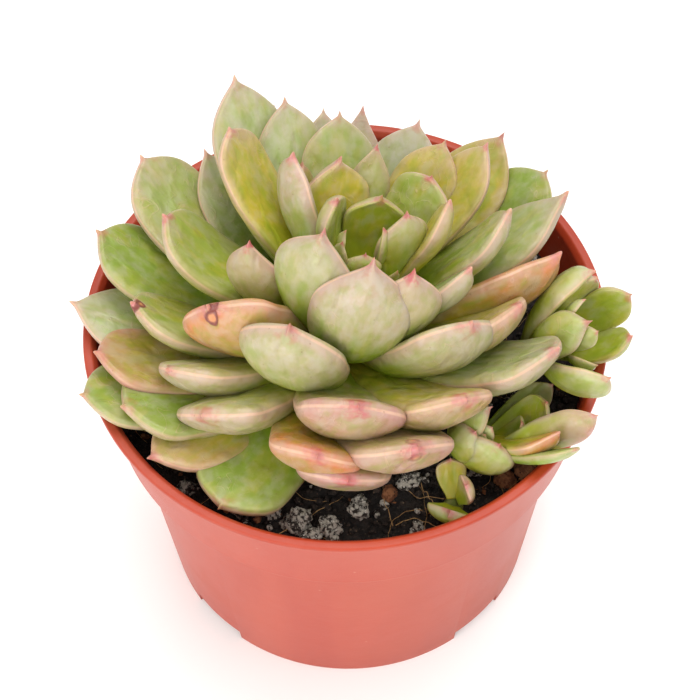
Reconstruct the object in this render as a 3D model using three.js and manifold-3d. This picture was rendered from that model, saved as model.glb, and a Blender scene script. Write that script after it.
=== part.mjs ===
// A rosette succulent in a round terracotta-coloured nursery pot.
//
// Millimetres, +Z up. The pot stands on z = 0. The plant is one leaning main rosette with
// three offsets, and every head's stem stands in a plain hole in the soil.

import * as THREE from 'three';
import { mergeVertices } from 'three/addons/utils/BufferGeometryUtils.js';
import Module from 'manifold-3d';

const wasm = await Module();
wasm.setup();

// ---------------------------------------------------------------- driving sizes

const POT_HEIGHT = 92;
const RIM_RADIUS = 65;            // outside of the rolled lip
const LIP_DEPTH = 1.5;            // height of the lip's outer edge
const LIP_WIDTH = 2.1;            // flat top of the lip
const LIP_BEVEL = 0.4;
const COLLAR_TOP_RADIUS = 63.3;
const COLLAR_FOOT_RADIUS = 60;
const COLLAR_HEIGHT = 25.4;       // from the lip's top down to the step
const STEP_DROP = 0.9;            // height of the sloping step under the collar
const WALL_TOP_RADIUS = 56.6;
const FOOT_RADIUS = 50;
const WALL = 1.6;
const FOOT_RING_HEIGHT = 4.4;     // the base is raised by this inside the ring
const FOOT_RING_WIDTH = 2.6;
const FOOT_GAPS = 4;
const FOOT_GAP_ANGLE = 19;        // degrees
const FOOT_GAP_BEARING = -46.5;   // degrees, middle of the first gap: turns the whole pot
const FOOT_GAP_DEPTH = 6;         // how far a gap is cut in from the foot's outside
const DRAIN_HOLES = 8;
const DRAIN_RADIUS = 3.6;
const DRAIN_CIRCLE = 34;

const SOIL_LEVEL = 78;
const SOIL_MOUND = 0.8;           // the middle stands this much above the edge
const SOIL_ROUGHNESS = 0.9;
const SOIL_GAP = 0.6;             // between the soil's side and the pot
const CLEARANCE = 0.3;
// Waves of the soil's surface: radians per mm and phase along x, the same along y, share.
const SOIL_WAVES = [
  [0.31, 1.7, 0.37, -0.6, 1],
  [0.83, 0.4, 0.71, 2.1, 0.6],
];

const POT_SEGMENTS = 48;
const SOIL_SEGMENTS = 36;
const SOIL_RINGS = 8;
const STEM_SIDES = 12;
const STEM_TAPER = 0.7;           // radius of a stem's top, as a share of the stem's radius
const STEM_TAPER_START = 0.5;     // share of the height where the taper starts
const STEM_SINK = 6;              // how far a stem goes below the soil's surface

// A bend that comes towards the tip, or one that comes towards the root.
const TIP_BEND = 0.45;
const ROOT_BEND = -0.6;

// Each head grows along its own leaning axis from `base`. `lean` and `bearing` are degrees.
const MAIN_HEAD = { base: [-4, -7, 78], lean: 12, bearing: 30, stemRadius: 6, stemTop: 38 };
const RIGHT_HEAD = { base: [44, -8, 84], lean: 42, bearing: -12, stemRadius: 3.2, stemTop: 17 };
const FRONT_HEAD = { base: [29, -31, 79], lean: 30, bearing: 0, stemRadius: 3, stemTop: 9 };
const SHOOT_HEAD = { base: [25, -46, 78], lean: 10, bearing: -90, stemRadius: 2.4, stemTop: 6 };

// How late a leaf narrows to its tip, and the dip of a cupped leaf's upper face.
const POINTED = 2;
const MEDIUM = 2.6;
const BLUNT = 3.6;
const CUPPED = 0.1;

// One row a leaf, in its head's frame: bearing of the tip (degrees), reach of the tip from
// the axis, height of the tip, height of the root, width, curl (degrees), roll (degrees),
// where the bend comes, the shape of the tip and, where there is one, the dip.
const MAIN_LEAVES = [
  // outer leaves at the back
  [131, 56, 33.5, 15, 17, 45, 0, TIP_BEND, POINTED],
  [124, 57, 54.5, 23, 22, 50, 0, TIP_BEND, POINTED],
  [111, 56.5, 41.5, 20, 17, 40, 0, TIP_BEND, POINTED],
  [113, 48.5, 51.5, 25, 19, 50, 0, TIP_BEND, POINTED],
  [100, 48.5, 46.5, 21, 14, 40, 0, TIP_BEND, POINTED],
  [97, 40, 53.5, 27, 19, 50, 0, TIP_BEND, POINTED],
  [88, 50.5, 46.5, 21, 15, 40, 0, TIP_BEND, POINTED],
  [71, 48, 48.5, 21, 20, 40, 0, TIP_BEND, MEDIUM],
  [57, 36.5, 56, 27, 17, 45, 0, TIP_BEND, POINTED],
  [49, 56, 50, 20, 20, 45, 0, TIP_BEND, MEDIUM],
  [35, 58.5, 47, 17, 21, 40, 0, TIP_BEND, BLUNT],
  [21, 53.5, 54, 22, 19, 45, -15, TIP_BEND, POINTED],
  // low leaves at the back, under the outer ones
  [140, 54, 24, 12, 20, 35, 0, TIP_BEND, MEDIUM],
  [118, 51, 27, 10, 21, 30, 0, TIP_BEND, MEDIUM],
  [96, 50, 28, 12, 20, 30, 0, TIP_BEND, MEDIUM],
  [74, 50, 30, 10, 21, 30, 0, TIP_BEND, MEDIUM],
  [52, 51, 32, 12, 20, 30, 0, TIP_BEND, MEDIUM],
  // left side
  [138, 43, 55.5, 29, 17, 60, 12, TIP_BEND, POINTED],
  [144, 65, 33, 18, 24, 50, 0, TIP_BEND, BLUNT],
  [164, 48.5, 38, 23, 20, 55, 8, TIP_BEND, BLUNT],
  [162, 65, 23.5, 15, 22, 45, 2, TIP_BEND, BLUNT],
  [174, 67, 11, 11, 21, 35, -5, TIP_BEND, MEDIUM],
  [-176, 52.5, 24.5, 18, 20, 55, 18, TIP_BEND, BLUNT],
  [-156, 39, 39, 25, 25, 65, 60, ROOT_BEND, MEDIUM],
  [-169, 61, 14.5, 14, 21, 45, 6, TIP_BEND, MEDIUM],
  [-162, 65.5, 8.5, 10, 21, 35, 0, TIP_BEND, MEDIUM],
  [-153, 48.5, 22.5, 17, 21, 60, 38, TIP_BEND, MEDIUM],
  [-154, 58.5, 12, 13, 24, 45, 5, TIP_BEND, MEDIUM],
  [-142, 57.5, 5.5, 10, 20, 30, 0, TIP_BEND, MEDIUM],
  [-136, 47.5, 20, 14, 24, 60, 38, TIP_BEND, MEDIUM],
  [-121, 54.5, 3, 12, 24, 30, 0, TIP_BEND, MEDIUM],
  // front
  [-91, 41.5, 38.5, 14, 25, 80, 0, TIP_BEND, MEDIUM],
  [-100, 47.5, 26, 9, 23, 75, 0, TIP_BEND, MEDIUM],
  [-74, 49.5, 33, 11, 25, 75, 0, TIP_BEND, MEDIUM],
  [-90, 48, 19.5, 9, 23, 65, 0, TIP_BEND, MEDIUM],
  [-57, 44.5, 39.5, 16, 23, 70, -10, TIP_BEND, MEDIUM],
  [-26, 51.5, 43.5, 17, 23, 55, -14, TIP_BEND, MEDIUM],
  [-123, 32.5, 48, 15, 26, 90, 15, ROOT_BEND, MEDIUM],
  [-42, 33, 49, 20, 24, 65, -25, ROOT_BEND, MEDIUM],
  // right side
  [5, 48.5, 48, 20, 22, 50, -60, TIP_BEND, MEDIUM],
  [-19, 39.5, 46.5, 22, 22, 55, -22, TIP_BEND, MEDIUM],
  [13, 35, 57, 27, 18, 50, -30, TIP_BEND, MEDIUM],
  [43, 40, 59.5, 28, 16, 50, -15, TIP_BEND, MEDIUM],
  // inner leaves round the crown
  [131, 27, 56, 30, 17, 50, 70, TIP_BEND, POINTED],
  [123, 27, 51, 28, 13, 50, 40, TIP_BEND, POINTED],
  [109, 21.5, 56, 31, 17, 50, 0, TIP_BEND, POINTED],
  [84, 26, 56.5, 31, 10, 50, 0, TIP_BEND, POINTED],
  [46, 22, 57.5, 33, 16, 50, 0, TIP_BEND, MEDIUM],
  [14, 19, 61, 33, 14, 50, -30, ROOT_BEND, POINTED],
  [-23, 26, 54.5, 30, 16, 60, -18, ROOT_BEND, MEDIUM],
  [-175, 27, 48, 27, 15, 110, 60, ROOT_BEND, MEDIUM],
  [-137, 14.5, 61.5, 24, 21, 70, 15, ROOT_BEND, POINTED],
  [-92, 18, 62.5, 22, 24, 80, 0, ROOT_BEND, MEDIUM],
  [-63, 20, 60, 26, 19, 70, -15, ROOT_BEND, POINTED],
  [136, 10, 55.5, 34, 13, 45, 20, TIP_BEND, POINTED],
  [69, 9.5, 56, 34, 15, 60, 22, ROOT_BEND, POINTED, CUPPED],
  [9, 8.5, 59, 33, 14, 50, -70, ROOT_BEND, POINTED],
  [-61, 14, 53, 37, 5, 30, 0, TIP_BEND, POINTED],
  // buds
  [-171, 5, 53, 38, 5, 30, 0, TIP_BEND, POINTED],
  [-145, 7, 52.5, 38, 5, 30, 0, TIP_BEND, POINTED],
  [-13, 3.5, 55, 38, 7, 30, 0, TIP_BEND, POINTED],
  [-90, 5, 50.5, 38, 9, 30, 0, TIP_BEND, POINTED],
];

const RIGHT_LEAVES = [
  [125, 12.5, 32, 3, 14, 40, 20, TIP_BEND, POINTED],
  [109, 11.5, 29.5, 10, 10, 40, 0, TIP_BEND, MEDIUM],
  [61, 9, 33, 9, 11, 30, 0, TIP_BEND, BLUNT],
  [-17, 6.5, 31, 10, 10, 30, 0, TIP_BEND, MEDIUM],
  [-161, 7, 30, 5, 11, 50, 0, TIP_BEND, MEDIUM],
  [-136, 5.5, 29.5, 14, 6, 30, 0, TIP_BEND, POINTED],
  [-103, 18, 33, 8, 12, 45, 0, TIP_BEND, MEDIUM],
  [-104, 12.5, 28, 14, 5, 30, 0, TIP_BEND, POINTED],
  [156, 8.5, 29, 13, 5, 30, 0, TIP_BEND, POINTED],
];

const FRONT_LEAVES = [
  [-172, 6, 21, 3, 11, 100, 0, ROOT_BEND, MEDIUM],
  [-134, 7, 19, 7, 5, 40, 0, TIP_BEND, MEDIUM],
  [-10, 4, 18.5, 8, 7, 55, 0, TIP_BEND, BLUNT, CUPPED],
  [22, 8.5, 24, 7, 9.5, 60, 0, TIP_BEND, BLUNT, CUPPED],
  [43, 17.5, 21, 3, 8, 40, 0, TIP_BEND, MEDIUM],
  [-61, 11.5, 31, 9.5, 11, 35, 10, TIP_BEND, MEDIUM],
  [-63, 17.5, 33.5, 5, 8.5, 20, 0, TIP_BEND, MEDIUM],
  [-33, 14, 38, 6.5, 9, 20, -95, TIP_BEND, MEDIUM],
  [-108, 9.5, 19, 2, 13, 60, 0, TIP_BEND, MEDIUM],
  [-143, 11, 18, 4, 10, 90, 0, ROOT_BEND, MEDIUM],
  [-132, 9, 17.5, 8, 4, 30, 0, TIP_BEND, POINTED],
];

const SHOOT_LEAVES = [
  [93, 9.5, 8.5, 3, 7.5, 50, 0, TIP_BEND, POINTED],
  [-110, 4, 8, 3.5, 11, 45, 0, TIP_BEND, BLUNT, CUPPED],
  [18, 2.5, 13, 4, 7, 40, 0, TIP_BEND, MEDIUM],
];

// The leaf's shape, as shares of its length and width.
const SHOULDER = 0.64;            // where the leaf is widest
const NECK_WIDTH = 0.38;          // width at the root
const NECK_FLARE = 1.4;           // how late the neck widens
const TIP_DRAW = 1.6;             // how far the tip is drawn out to a point
const THICKNESS = 0.27;
const NECK_THICKNESS = 0.6;
const THICKEST = 0.6;             // where the leaf is thickest
const TIP_THINNING = 1.9;         // how late the leaf thins
const TIP_ROUNDING = 0.8;         // fullness of the thinning tip
const RISE = 0.04;                // rise of the upper face over the margins
const ROLLED = 0.5;               // a rolled leaf has its full roll from here on
const RIB_STEPS = 60;
const STATIONS = [0, 0.25, 0.5, 0.7, 0.85, 0.95];
const SECTION_TOP = [-1, -0.5, 0, 0.5, 1];
const SECTION_BELOW = [0.6, 0, -0.6];
const SMALL_LEAF = 12;            // leaves narrower than this have a plainer section
const SMALL_TOP = [-1, 0, 1];
const ROOT_DEPTH = 0.45;          // the root starts at this share of the stem's radius

// Pumice and bark lumps that lie half sunk in the soil. The laid ones are those in view:
// x, y and radius, from the pot's axis. The others are strewn.
const LAID_LUMPS = [
  [-12.5, -50, 3.4], [-4.5, -51, 3], [-9, -53.5, 2.6], [2.5, -46.5, 3.2],
  [14.5, -38.5, 2.8], [16.5, -52, 2.2], [10, -42.5, 2.2], [43, -36.5, 3],
  [38, -39, 2.8], [-18.5, -47, 2], [-26.5, -45, 2.4], [-39.5, -39.5, 2.8],
  [-44, 35.5, 2.4],
];
const LUMPS = 24;
const LUMP_RADIUS = [1.8, 3.6];
const LUMP_BREADTH = [0.75, 1.05];  // breadth as a share of the length
const LUMP_HEIGHT = 0.7;            // height as a share of the length
const LUMP_RISE = 0.15;             // how far the middle stands above the soil, in radii
const LUMP_TILT = 0.8;              // radians, at most
const LUMP_EDGE_GAP = 2.5;          // between the outermost lumps and the pot
const LUMP_INNER = 0.5;             // lumps lie beyond this share of the soil's radius
const LUMP_SEED = 7;

// ---------------------------------------------------------------- solids

/** A manifold solid of a closed geometry. */
function solid(geometry) {
  const bare = geometry.clone();
  bare.deleteAttribute('normal');
  bare.deleteAttribute('uv');
  const merged = mergeVertices(bare, 1e-4);
  return new wasm.Manifold(new wasm.Mesh({
    numProp: 3,
    vertProperties: new Float32Array(merged.attributes.position.array),
    triVerts: new Uint32Array(merged.index.array),
  }));
}

/** The solid's surface as a geometry. */
function surface(body) {
  const mesh = body.getMesh();
  const geometry = new THREE.BufferGeometry();
  geometry.setAttribute('position', new THREE.BufferAttribute(mesh.vertProperties, 3));
  geometry.setIndex(new THREE.BufferAttribute(mesh.triVerts, 1));
  geometry.computeVertexNormals();
  return geometry;
}

/** All solids joined into one. */
function join(solids) {
  return solids.reduce((whole, piece) => whole.add(piece));
}

/** The geometry's largest connected shell: sealed hollows and loose scraps are left out. */
function outerShell(geometry) {
  const faces = geometry.index.array;
  const owner = Array.from({ length: geometry.attributes.position.count }, (_, i) => i);
  const find = (i) => {
    let root = i;
    while (owner[root] !== root) {
      root = owner[root];
    }
    owner[i] = root;
    return root;
  };
  for (let i = 0; i < faces.length; i += 3) {
    owner[find(faces[i + 1])] = find(faces[i]);
    owner[find(faces[i + 2])] = find(faces[i]);
  }
  const sizes = new Map();
  for (let i = 0; i < faces.length; i += 3) {
    const root = find(faces[i]);
    sizes.set(root, (sizes.get(root) ?? 0) + 1);
  }
  const [main] = [...sizes].sort((a, b) => b[1] - a[1])[0];
  const kept = [];
  for (let i = 0; i < faces.length; i += 3) {
    if (find(faces[i]) === main) {
      kept.push(faces[i], faces[i + 1], faces[i + 2]);
    }
  }
  geometry.setIndex(kept);
  return geometry;
}

/** A named mesh with its own finish. */
function piece(name, geometry, colour, roughness) {
  const material = new THREE.MeshStandardMaterial({ color: colour, roughness, metalness: 0 });
  const mesh = new THREE.Mesh(geometry, material);
  mesh.name = name;
  return mesh;
}

/** A lathe turned about +Z from [radius, height] pairs. */
function turned(profile, segments = POT_SEGMENTS) {
  const points = profile.map(([radius, height]) => new THREE.Vector2(radius, height));
  return new THREE.LatheGeometry(points, segments).rotateX(Math.PI / 2);
}

/** An upright cylinder between two heights. */
function post(radius, low, high, sides = STEM_SIDES) {
  const shape = new THREE.CylinderGeometry(radius, radius, high - low, sides);
  return shape.rotateX(Math.PI / 2).translate(0, 0, (low + high) / 2);
}

/** A repeatable stream of numbers between 0 and 1. */
function randomStream(seed) {
  let state = seed;
  return () => {
    state = (state * 16807) % 2147483647;
    return state / 2147483647;
  };
}

// ---------------------------------------------------------------- pot

const RIM_INSIDE = RIM_RADIUS - LIP_WIDTH;
const COLLAR_FOOT = POT_HEIGHT - COLLAR_HEIGHT;
const FLOOR_TOP = FOOT_RING_HEIGHT + WALL;

/** Inside radius of the collar at a height. */
function insideRadius(height) {
  const share = (height - COLLAR_FOOT) / (POT_HEIGHT - LIP_DEPTH - COLLAR_FOOT);
  return COLLAR_FOOT_RADIUS + (COLLAR_TOP_RADIUS - COLLAR_FOOT_RADIUS) * share - WALL;
}

function potGeometry() {
  const lipFoot = POT_HEIGHT - LIP_DEPTH;
  const ringInside = FOOT_RADIUS - FOOT_RING_WIDTH;
  const profile = [
    [0, FOOT_RING_HEIGHT],
    [ringInside, FOOT_RING_HEIGHT],
    [ringInside, 0],
    [FOOT_RADIUS, 0],
    [WALL_TOP_RADIUS, COLLAR_FOOT - STEP_DROP],
    [COLLAR_FOOT_RADIUS, COLLAR_FOOT],
    [COLLAR_TOP_RADIUS, lipFoot],
    [RIM_RADIUS, lipFoot],
    [RIM_RADIUS, POT_HEIGHT - LIP_BEVEL],
    [RIM_RADIUS - LIP_BEVEL, POT_HEIGHT],
    [RIM_INSIDE, POT_HEIGHT],
    [insideRadius(lipFoot), lipFoot],
    [insideRadius(COLLAR_FOOT), COLLAR_FOOT],
    [WALL_TOP_RADIUS - WALL, COLLAR_FOOT - STEP_DROP - WALL],
    [FOOT_RADIUS - WALL, FLOOR_TOP],
    [0, FLOOR_TOP],
  ];
  let pot = solid(turned(profile));

  const gapWidth = 2 * FOOT_RADIUS * Math.sin(THREE.MathUtils.degToRad(FOOT_GAP_ANGLE / 2));
  for (let i = 0; i < FOOT_GAPS; i += 1) {
    const bearing = (i * 2 * Math.PI) / FOOT_GAPS;
    const gap = new THREE.BoxGeometry(2 * FOOT_GAP_DEPTH, gapWidth, 2 * FOOT_RING_HEIGHT)
      .translate(FOOT_RADIUS, 0, 0)
      .rotateZ(bearing);
    pot = pot.subtract(solid(gap));
  }

  for (let i = 0; i < DRAIN_HOLES; i += 1) {
    const bearing = (i * 2 * Math.PI) / DRAIN_HOLES;
    const hole = post(DRAIN_RADIUS, 0, FLOOR_TOP + WALL)
      .translate(DRAIN_CIRCLE * Math.cos(bearing), DRAIN_CIRCLE * Math.sin(bearing), 0);
    pot = pot.subtract(solid(hole));
  }
  return surface(pot).rotateZ(THREE.MathUtils.degToRad(FOOT_GAP_BEARING));
}

// ---------------------------------------------------------------- soil

/** Height of the soil's rough surface over a point. */
function soilHeight(x, y) {
  const share = Math.hypot(x, y) / insideRadius(SOIL_LEVEL);
  const mound = SOIL_MOUND * (1 - share * share);
  const clods = SOIL_WAVES.reduce(
    (sum, [kx, px, ky, py, part]) => sum + part * Math.sin(kx * x + px) * Math.cos(ky * y + py),
    0,
  );
  return SOIL_LEVEL + mound + SOIL_ROUGHNESS * clods * (1 - share ** 8);
}

function soilGround() {
  const edge = insideRadius(SOIL_LEVEL) - SOIL_GAP;
  const profile = [
    [0, FLOOR_TOP + CLEARANCE],
    [FOOT_RADIUS - WALL - SOIL_GAP, FLOOR_TOP + CLEARANCE],
    [WALL_TOP_RADIUS - WALL - SOIL_GAP, COLLAR_FOOT - STEP_DROP - WALL],
    [insideRadius(COLLAR_FOOT) - SOIL_GAP, COLLAR_FOOT + CLEARANCE],
    [edge, SOIL_LEVEL],
  ];
  for (let i = 1; i <= SOIL_RINGS; i += 1) {
    profile.push([edge * (1 - i / SOIL_RINGS), SOIL_LEVEL]);
  }
  const geometry = turned(profile, SOIL_SEGMENTS);
  const position = geometry.attributes.position;
  for (let i = 0; i < position.count; i += 1) {
    if (position.getZ(i) > SOIL_LEVEL - CLEARANCE) {
      position.setZ(i, soilHeight(position.getX(i), position.getY(i)));
    }
  }
  return solid(geometry);
}

/** Lumps in the outer soil, each sunk to about its middle. */
function soilLumps() {
  const random = randomStream(LUMP_SEED);
  const between = (low, high) => low + (high - low) * random();
  const spots = [...LAID_LUMPS];
  for (let i = 0; i < LUMPS; i += 1) {
    const radius = Math.min(between(...LUMP_RADIUS), between(...LUMP_RADIUS));
    const bearing = between(0, 2 * Math.PI);
    const reach = insideRadius(SOIL_LEVEL) - radius - LUMP_EDGE_GAP;
    const distance = reach * Math.sqrt(between(LUMP_INNER ** 2, 1));
    spots.push([distance * Math.cos(bearing), distance * Math.sin(bearing), radius]);
  }
  const lumps = spots.map(([x, y, radius]) => {
    const lump = new THREE.IcosahedronGeometry(radius, 0)
      .scale(1, between(...LUMP_BREADTH), LUMP_HEIGHT)
      .rotateX(between(0, LUMP_TILT))
      .rotateZ(between(0, 2 * Math.PI))
      .translate(x, y, soilHeight(x, y) + LUMP_RISE * radius);
    return solid(lump);
  });
  return join(lumps);
}

// ---------------------------------------------------------------- leaves

/** Half-width of a leaf at a share of its length, as a share of its widest. */
function leafWidth(u, fullness) {
  if (u < SHOULDER) {
    const flare = Math.sin((u / SHOULDER) * (Math.PI / 2)) ** NECK_FLARE;
    return NECK_WIDTH + (1 - NECK_WIDTH) * flare;
  }
  const s = (u - SHOULDER) / (1 - SHOULDER);
  return (1 - s ** fullness) ** TIP_DRAW;
}

/** Thickness of a leaf at a share of its length, as a share of its thickest. */
function leafThickness(u) {
  if (u < THICKEST) {
    return NECK_THICKNESS + (1 - NECK_THICKNESS) * Math.sin((u / THICKEST) * (Math.PI / 2));
  }
  const s = (u - THICKEST) / (1 - THICKEST);
  return (1 - s ** TIP_THINNING) ** TIP_ROUNDING;
}

/** Points [along, up, slope] of a bent midrib of unit length, evenly spaced. */
function midrib(curl, bend) {
  const slopeAt = (u) => curl * ((1 - bend) * u + bend * u * u);
  const points = [[0, 0, 0]];
  let along = 0;
  let up = 0;
  for (let i = 1; i <= RIB_STEPS; i += 1) {
    const middle = slopeAt((i - 0.5) / RIB_STEPS);
    along += Math.cos(middle) / RIB_STEPS;
    up += Math.sin(middle) / RIB_STEPS;
    points.push([along, up, slopeAt(i / RIB_STEPS)]);
  }
  return points;
}

/** A fleshy leaf: flat or cupped above, round below, and pointed. */
function leafGeometry(row, rootReach) {
  const [bearing, reach, height, root, width, curl, roll, bend, fullness, dip = 0] = row;
  const rad = THREE.MathUtils.degToRad;
  const rib = midrib(rad(curl), bend);
  const [endAlong, endUp] = rib[rib.length - 1];
  const scale = Math.hypot(reach - rootReach, height - root) / Math.hypot(endAlong, endUp);
  const turn = Math.atan2(height - root, reach - rootReach) - Math.atan2(endUp, endAlong);
  const outward = new THREE.Vector3(Math.cos(rad(bearing)), Math.sin(rad(bearing)), 0);
  const sideways = new THREE.Vector3(-outward.y, outward.x, 0);
  const upward = new THREE.Vector3(0, 0, 1);

  const sectionTop = width < SMALL_LEAF ? SMALL_TOP : SECTION_TOP;
  const positions = [];
  /** Adds the point at share u, v across (-1 to 1) and w above the margins. */
  function addPoint(u, v, w) {
    const [along, up, slope] = rib[Math.round(u * (rib.length - 1))];
    const x = rootReach + scale * (along * Math.cos(turn) - up * Math.sin(turn));
    const z = root + scale * (along * Math.sin(turn) + up * Math.cos(turn));
    const angle = turn + slope;
    const normal = outward.clone().multiplyScalar(-Math.sin(angle))
      .addScaledVector(upward, Math.cos(angle));
    const rolled = rad(roll) * Math.min(u / ROLLED, 1);
    const across = sideways.clone().multiplyScalar(Math.cos(rolled))
      .addScaledVector(normal, Math.sin(rolled));
    const face = normal.multiplyScalar(Math.cos(rolled))
      .addScaledVector(sideways, -Math.sin(rolled));
    const point = outward.clone().multiplyScalar(x)
      .addScaledVector(upward, z)
      .addScaledVector(across, (v * width * leafWidth(u, fullness)) / 2)
      .addScaledVector(face, w);
    positions.push(point.x, point.y, point.z);
  }

  for (const u of STATIONS) {
    for (const v of sectionTop) {
      const rise = RISE * Math.sqrt(1 - v ** 4) - dip * (1 - v * v);
      addPoint(u, v, rise * width * leafWidth(u, fullness));
    }
    for (const v of SECTION_BELOW) {
      addPoint(u, v, -THICKNESS * width * leafThickness(u) * Math.sqrt(1 - v * v));
    }
  }
  addPoint(1, 0, 0);

  const ring = sectionTop.length + SECTION_BELOW.length;
  const tip = STATIONS.length * ring;
  const faces = [];
  for (let i = 0; i < ring; i += 1) {
    const next = (i + 1) % ring;
    for (let k = 0; k + 1 < STATIONS.length; k += 1) {
      const a = k * ring + i;
      const b = k * ring + next;
      faces.push(a, a + ring, b, b, a + ring, b + ring);
    }
    const last = (STATIONS.length - 1) * ring;
    faces.push(last + i, tip, last + next);
    if (i > 0 && i + 1 < ring) {
      faces.push(0, i, i + 1);
    }
  }
  const geometry = new THREE.BufferGeometry();
  geometry.setAttribute('position', new THREE.Float32BufferAttribute(positions, 3));
  geometry.setIndex(faces);
  return geometry;
}

/** The transform from a head's own frame to the part's. */
function headFrame(head) {
  const bearing = THREE.MathUtils.degToRad(head.bearing);
  const axis = new THREE.Vector3(-Math.sin(bearing), Math.cos(bearing), 0);
  return new THREE.Matrix4()
    .makeRotationAxis(axis, THREE.MathUtils.degToRad(head.lean))
    .setPosition(...head.base);
}

/** How far below its base a head's stem reaches, measured along the stem. */
function stemFoot(head) {
  const rise = head.base[2] - SOIL_LEVEL + STEM_SINK;
  return -rise / Math.cos(THREE.MathUtils.degToRad(head.lean));
}

/** A stem that tapers in its upper part, where the leaves stand. */
function stemGeometry(head) {
  return turned([
    [0, stemFoot(head)],
    [head.stemRadius, stemFoot(head)],
    [head.stemRadius, STEM_TAPER_START * head.stemTop],
    [STEM_TAPER * head.stemRadius, head.stemTop],
    [0, head.stemTop],
  ], STEM_SIDES);
}

/** The stem and its leaves fused into one solid. */
function headSolid(head, leaves) {
  const frame = headFrame(head);
  const blades = leaves.map(
    (row) => solid(leafGeometry(row, ROOT_DEPTH * head.stemRadius).applyMatrix4(frame)),
  );
  return join([solid(stemGeometry(head).applyMatrix4(frame)), ...blades]);
}

/** The plain hole that a head's stem stands in. */
function stemHole(head) {
  const hole = post(head.stemRadius + CLEARANCE, stemFoot(head) - CLEARANCE, head.stemTop);
  return solid(hole.applyMatrix4(headFrame(head)));
}

// ---------------------------------------------------------------- the potted plant

const heads = [
  { name: 'rosette_main', head: MAIN_HEAD, leaves: MAIN_LEAVES, colour: 0xa3ad7c },
  { name: 'offset_right', head: RIGHT_HEAD, leaves: RIGHT_LEAVES, colour: 0xa5b972 },
  { name: 'offset_front', head: FRONT_HEAD, leaves: FRONT_LEAVES, colour: 0x9db266 },
  { name: 'shoot_front', head: SHOOT_HEAD, leaves: SHOOT_LEAVES, colour: 0xb3b56f },
];

const ground = heads.reduce(
  (soil, { head }) => soil.subtract(stemHole(head)),
  join([soilGround(), soilLumps()]),
);

const plant = new THREE.Group();
plant.add(piece('pot', potGeometry(), 0xd4745c, 0.45));
plant.add(piece('soil', surface(ground), 0x3a2f29, 0.95));
for (const { name, head, leaves, colour } of heads) {
  plant.add(piece(name, outerShell(surface(headSolid(head, leaves))), colour, 0.5));
}

// The plan of the whole is centred on the origin.
const centre = new THREE.Box3().setFromObject(plant).getCenter(new THREE.Vector3());
for (const mesh of plant.children) {
  mesh.geometry.translate(-centre.x, -centre.y, 0);
}

export default plant;
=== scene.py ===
"""A rosette succulent in a round terracotta-coloured nursery pot, dressed for its render.

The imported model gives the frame. Sizes are millimetres from the pot's axis and from the level
that it stands on, and become metres in the frame's axes where a mesh is made.
"""

import logging
import math
import random
from dataclasses import dataclass, field
from enum import Enum
from functools import partial, reduce
from typing import Callable, Sequence, Union

import bmesh
import bpy
import numpy as np
from mathutils import Matrix, Vector, noise


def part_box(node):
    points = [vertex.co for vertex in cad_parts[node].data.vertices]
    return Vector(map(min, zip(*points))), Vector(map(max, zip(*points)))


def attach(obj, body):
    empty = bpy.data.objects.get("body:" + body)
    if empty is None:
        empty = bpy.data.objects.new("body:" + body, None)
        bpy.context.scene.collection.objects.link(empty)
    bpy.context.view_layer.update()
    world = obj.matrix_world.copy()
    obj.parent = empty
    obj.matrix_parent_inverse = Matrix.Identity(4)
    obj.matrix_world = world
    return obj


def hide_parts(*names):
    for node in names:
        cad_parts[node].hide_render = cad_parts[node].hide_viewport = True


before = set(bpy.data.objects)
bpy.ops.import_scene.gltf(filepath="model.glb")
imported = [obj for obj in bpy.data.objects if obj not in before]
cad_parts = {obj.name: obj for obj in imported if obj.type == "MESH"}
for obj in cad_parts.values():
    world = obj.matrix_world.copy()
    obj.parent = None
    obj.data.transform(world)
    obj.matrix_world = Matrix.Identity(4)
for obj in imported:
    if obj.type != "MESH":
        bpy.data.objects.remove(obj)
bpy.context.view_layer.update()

LOG = logging.getLogger("potted_succulent")

MM = 0.001
BODY = "root"
UPWARD = (0, 0, 1)

Socket = bpy.types.NodeSocket
Sockets = bpy.types.bpy_prop_collection
Value = Union[float, Sequence[float], Socket]
Shell = tuple[np.ndarray, list[list[int]]]


def colour(code: str) -> tuple[float, ...]:
    """The linear colour, with full alpha, of a six-digit colour code."""
    parts = [int(code[i : i + 2], 16) / 255 for i in (0, 2, 4)]
    return (*(c / 12.92 if c <= 0.04045 else ((c + 0.055) / 1.055) ** 2.4 for c in parts), 1.0)


def pot_axis() -> np.ndarray:
    """The point of the pot's axis at the level that the pot stands on, in metres."""
    low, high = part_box("pot")
    return np.array([(low.x + high.x) / 2, (low.y + high.y) / 2, low.z])


AXIS = pot_axis()


# ------------------------------------------------------------------ node graphs


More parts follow.
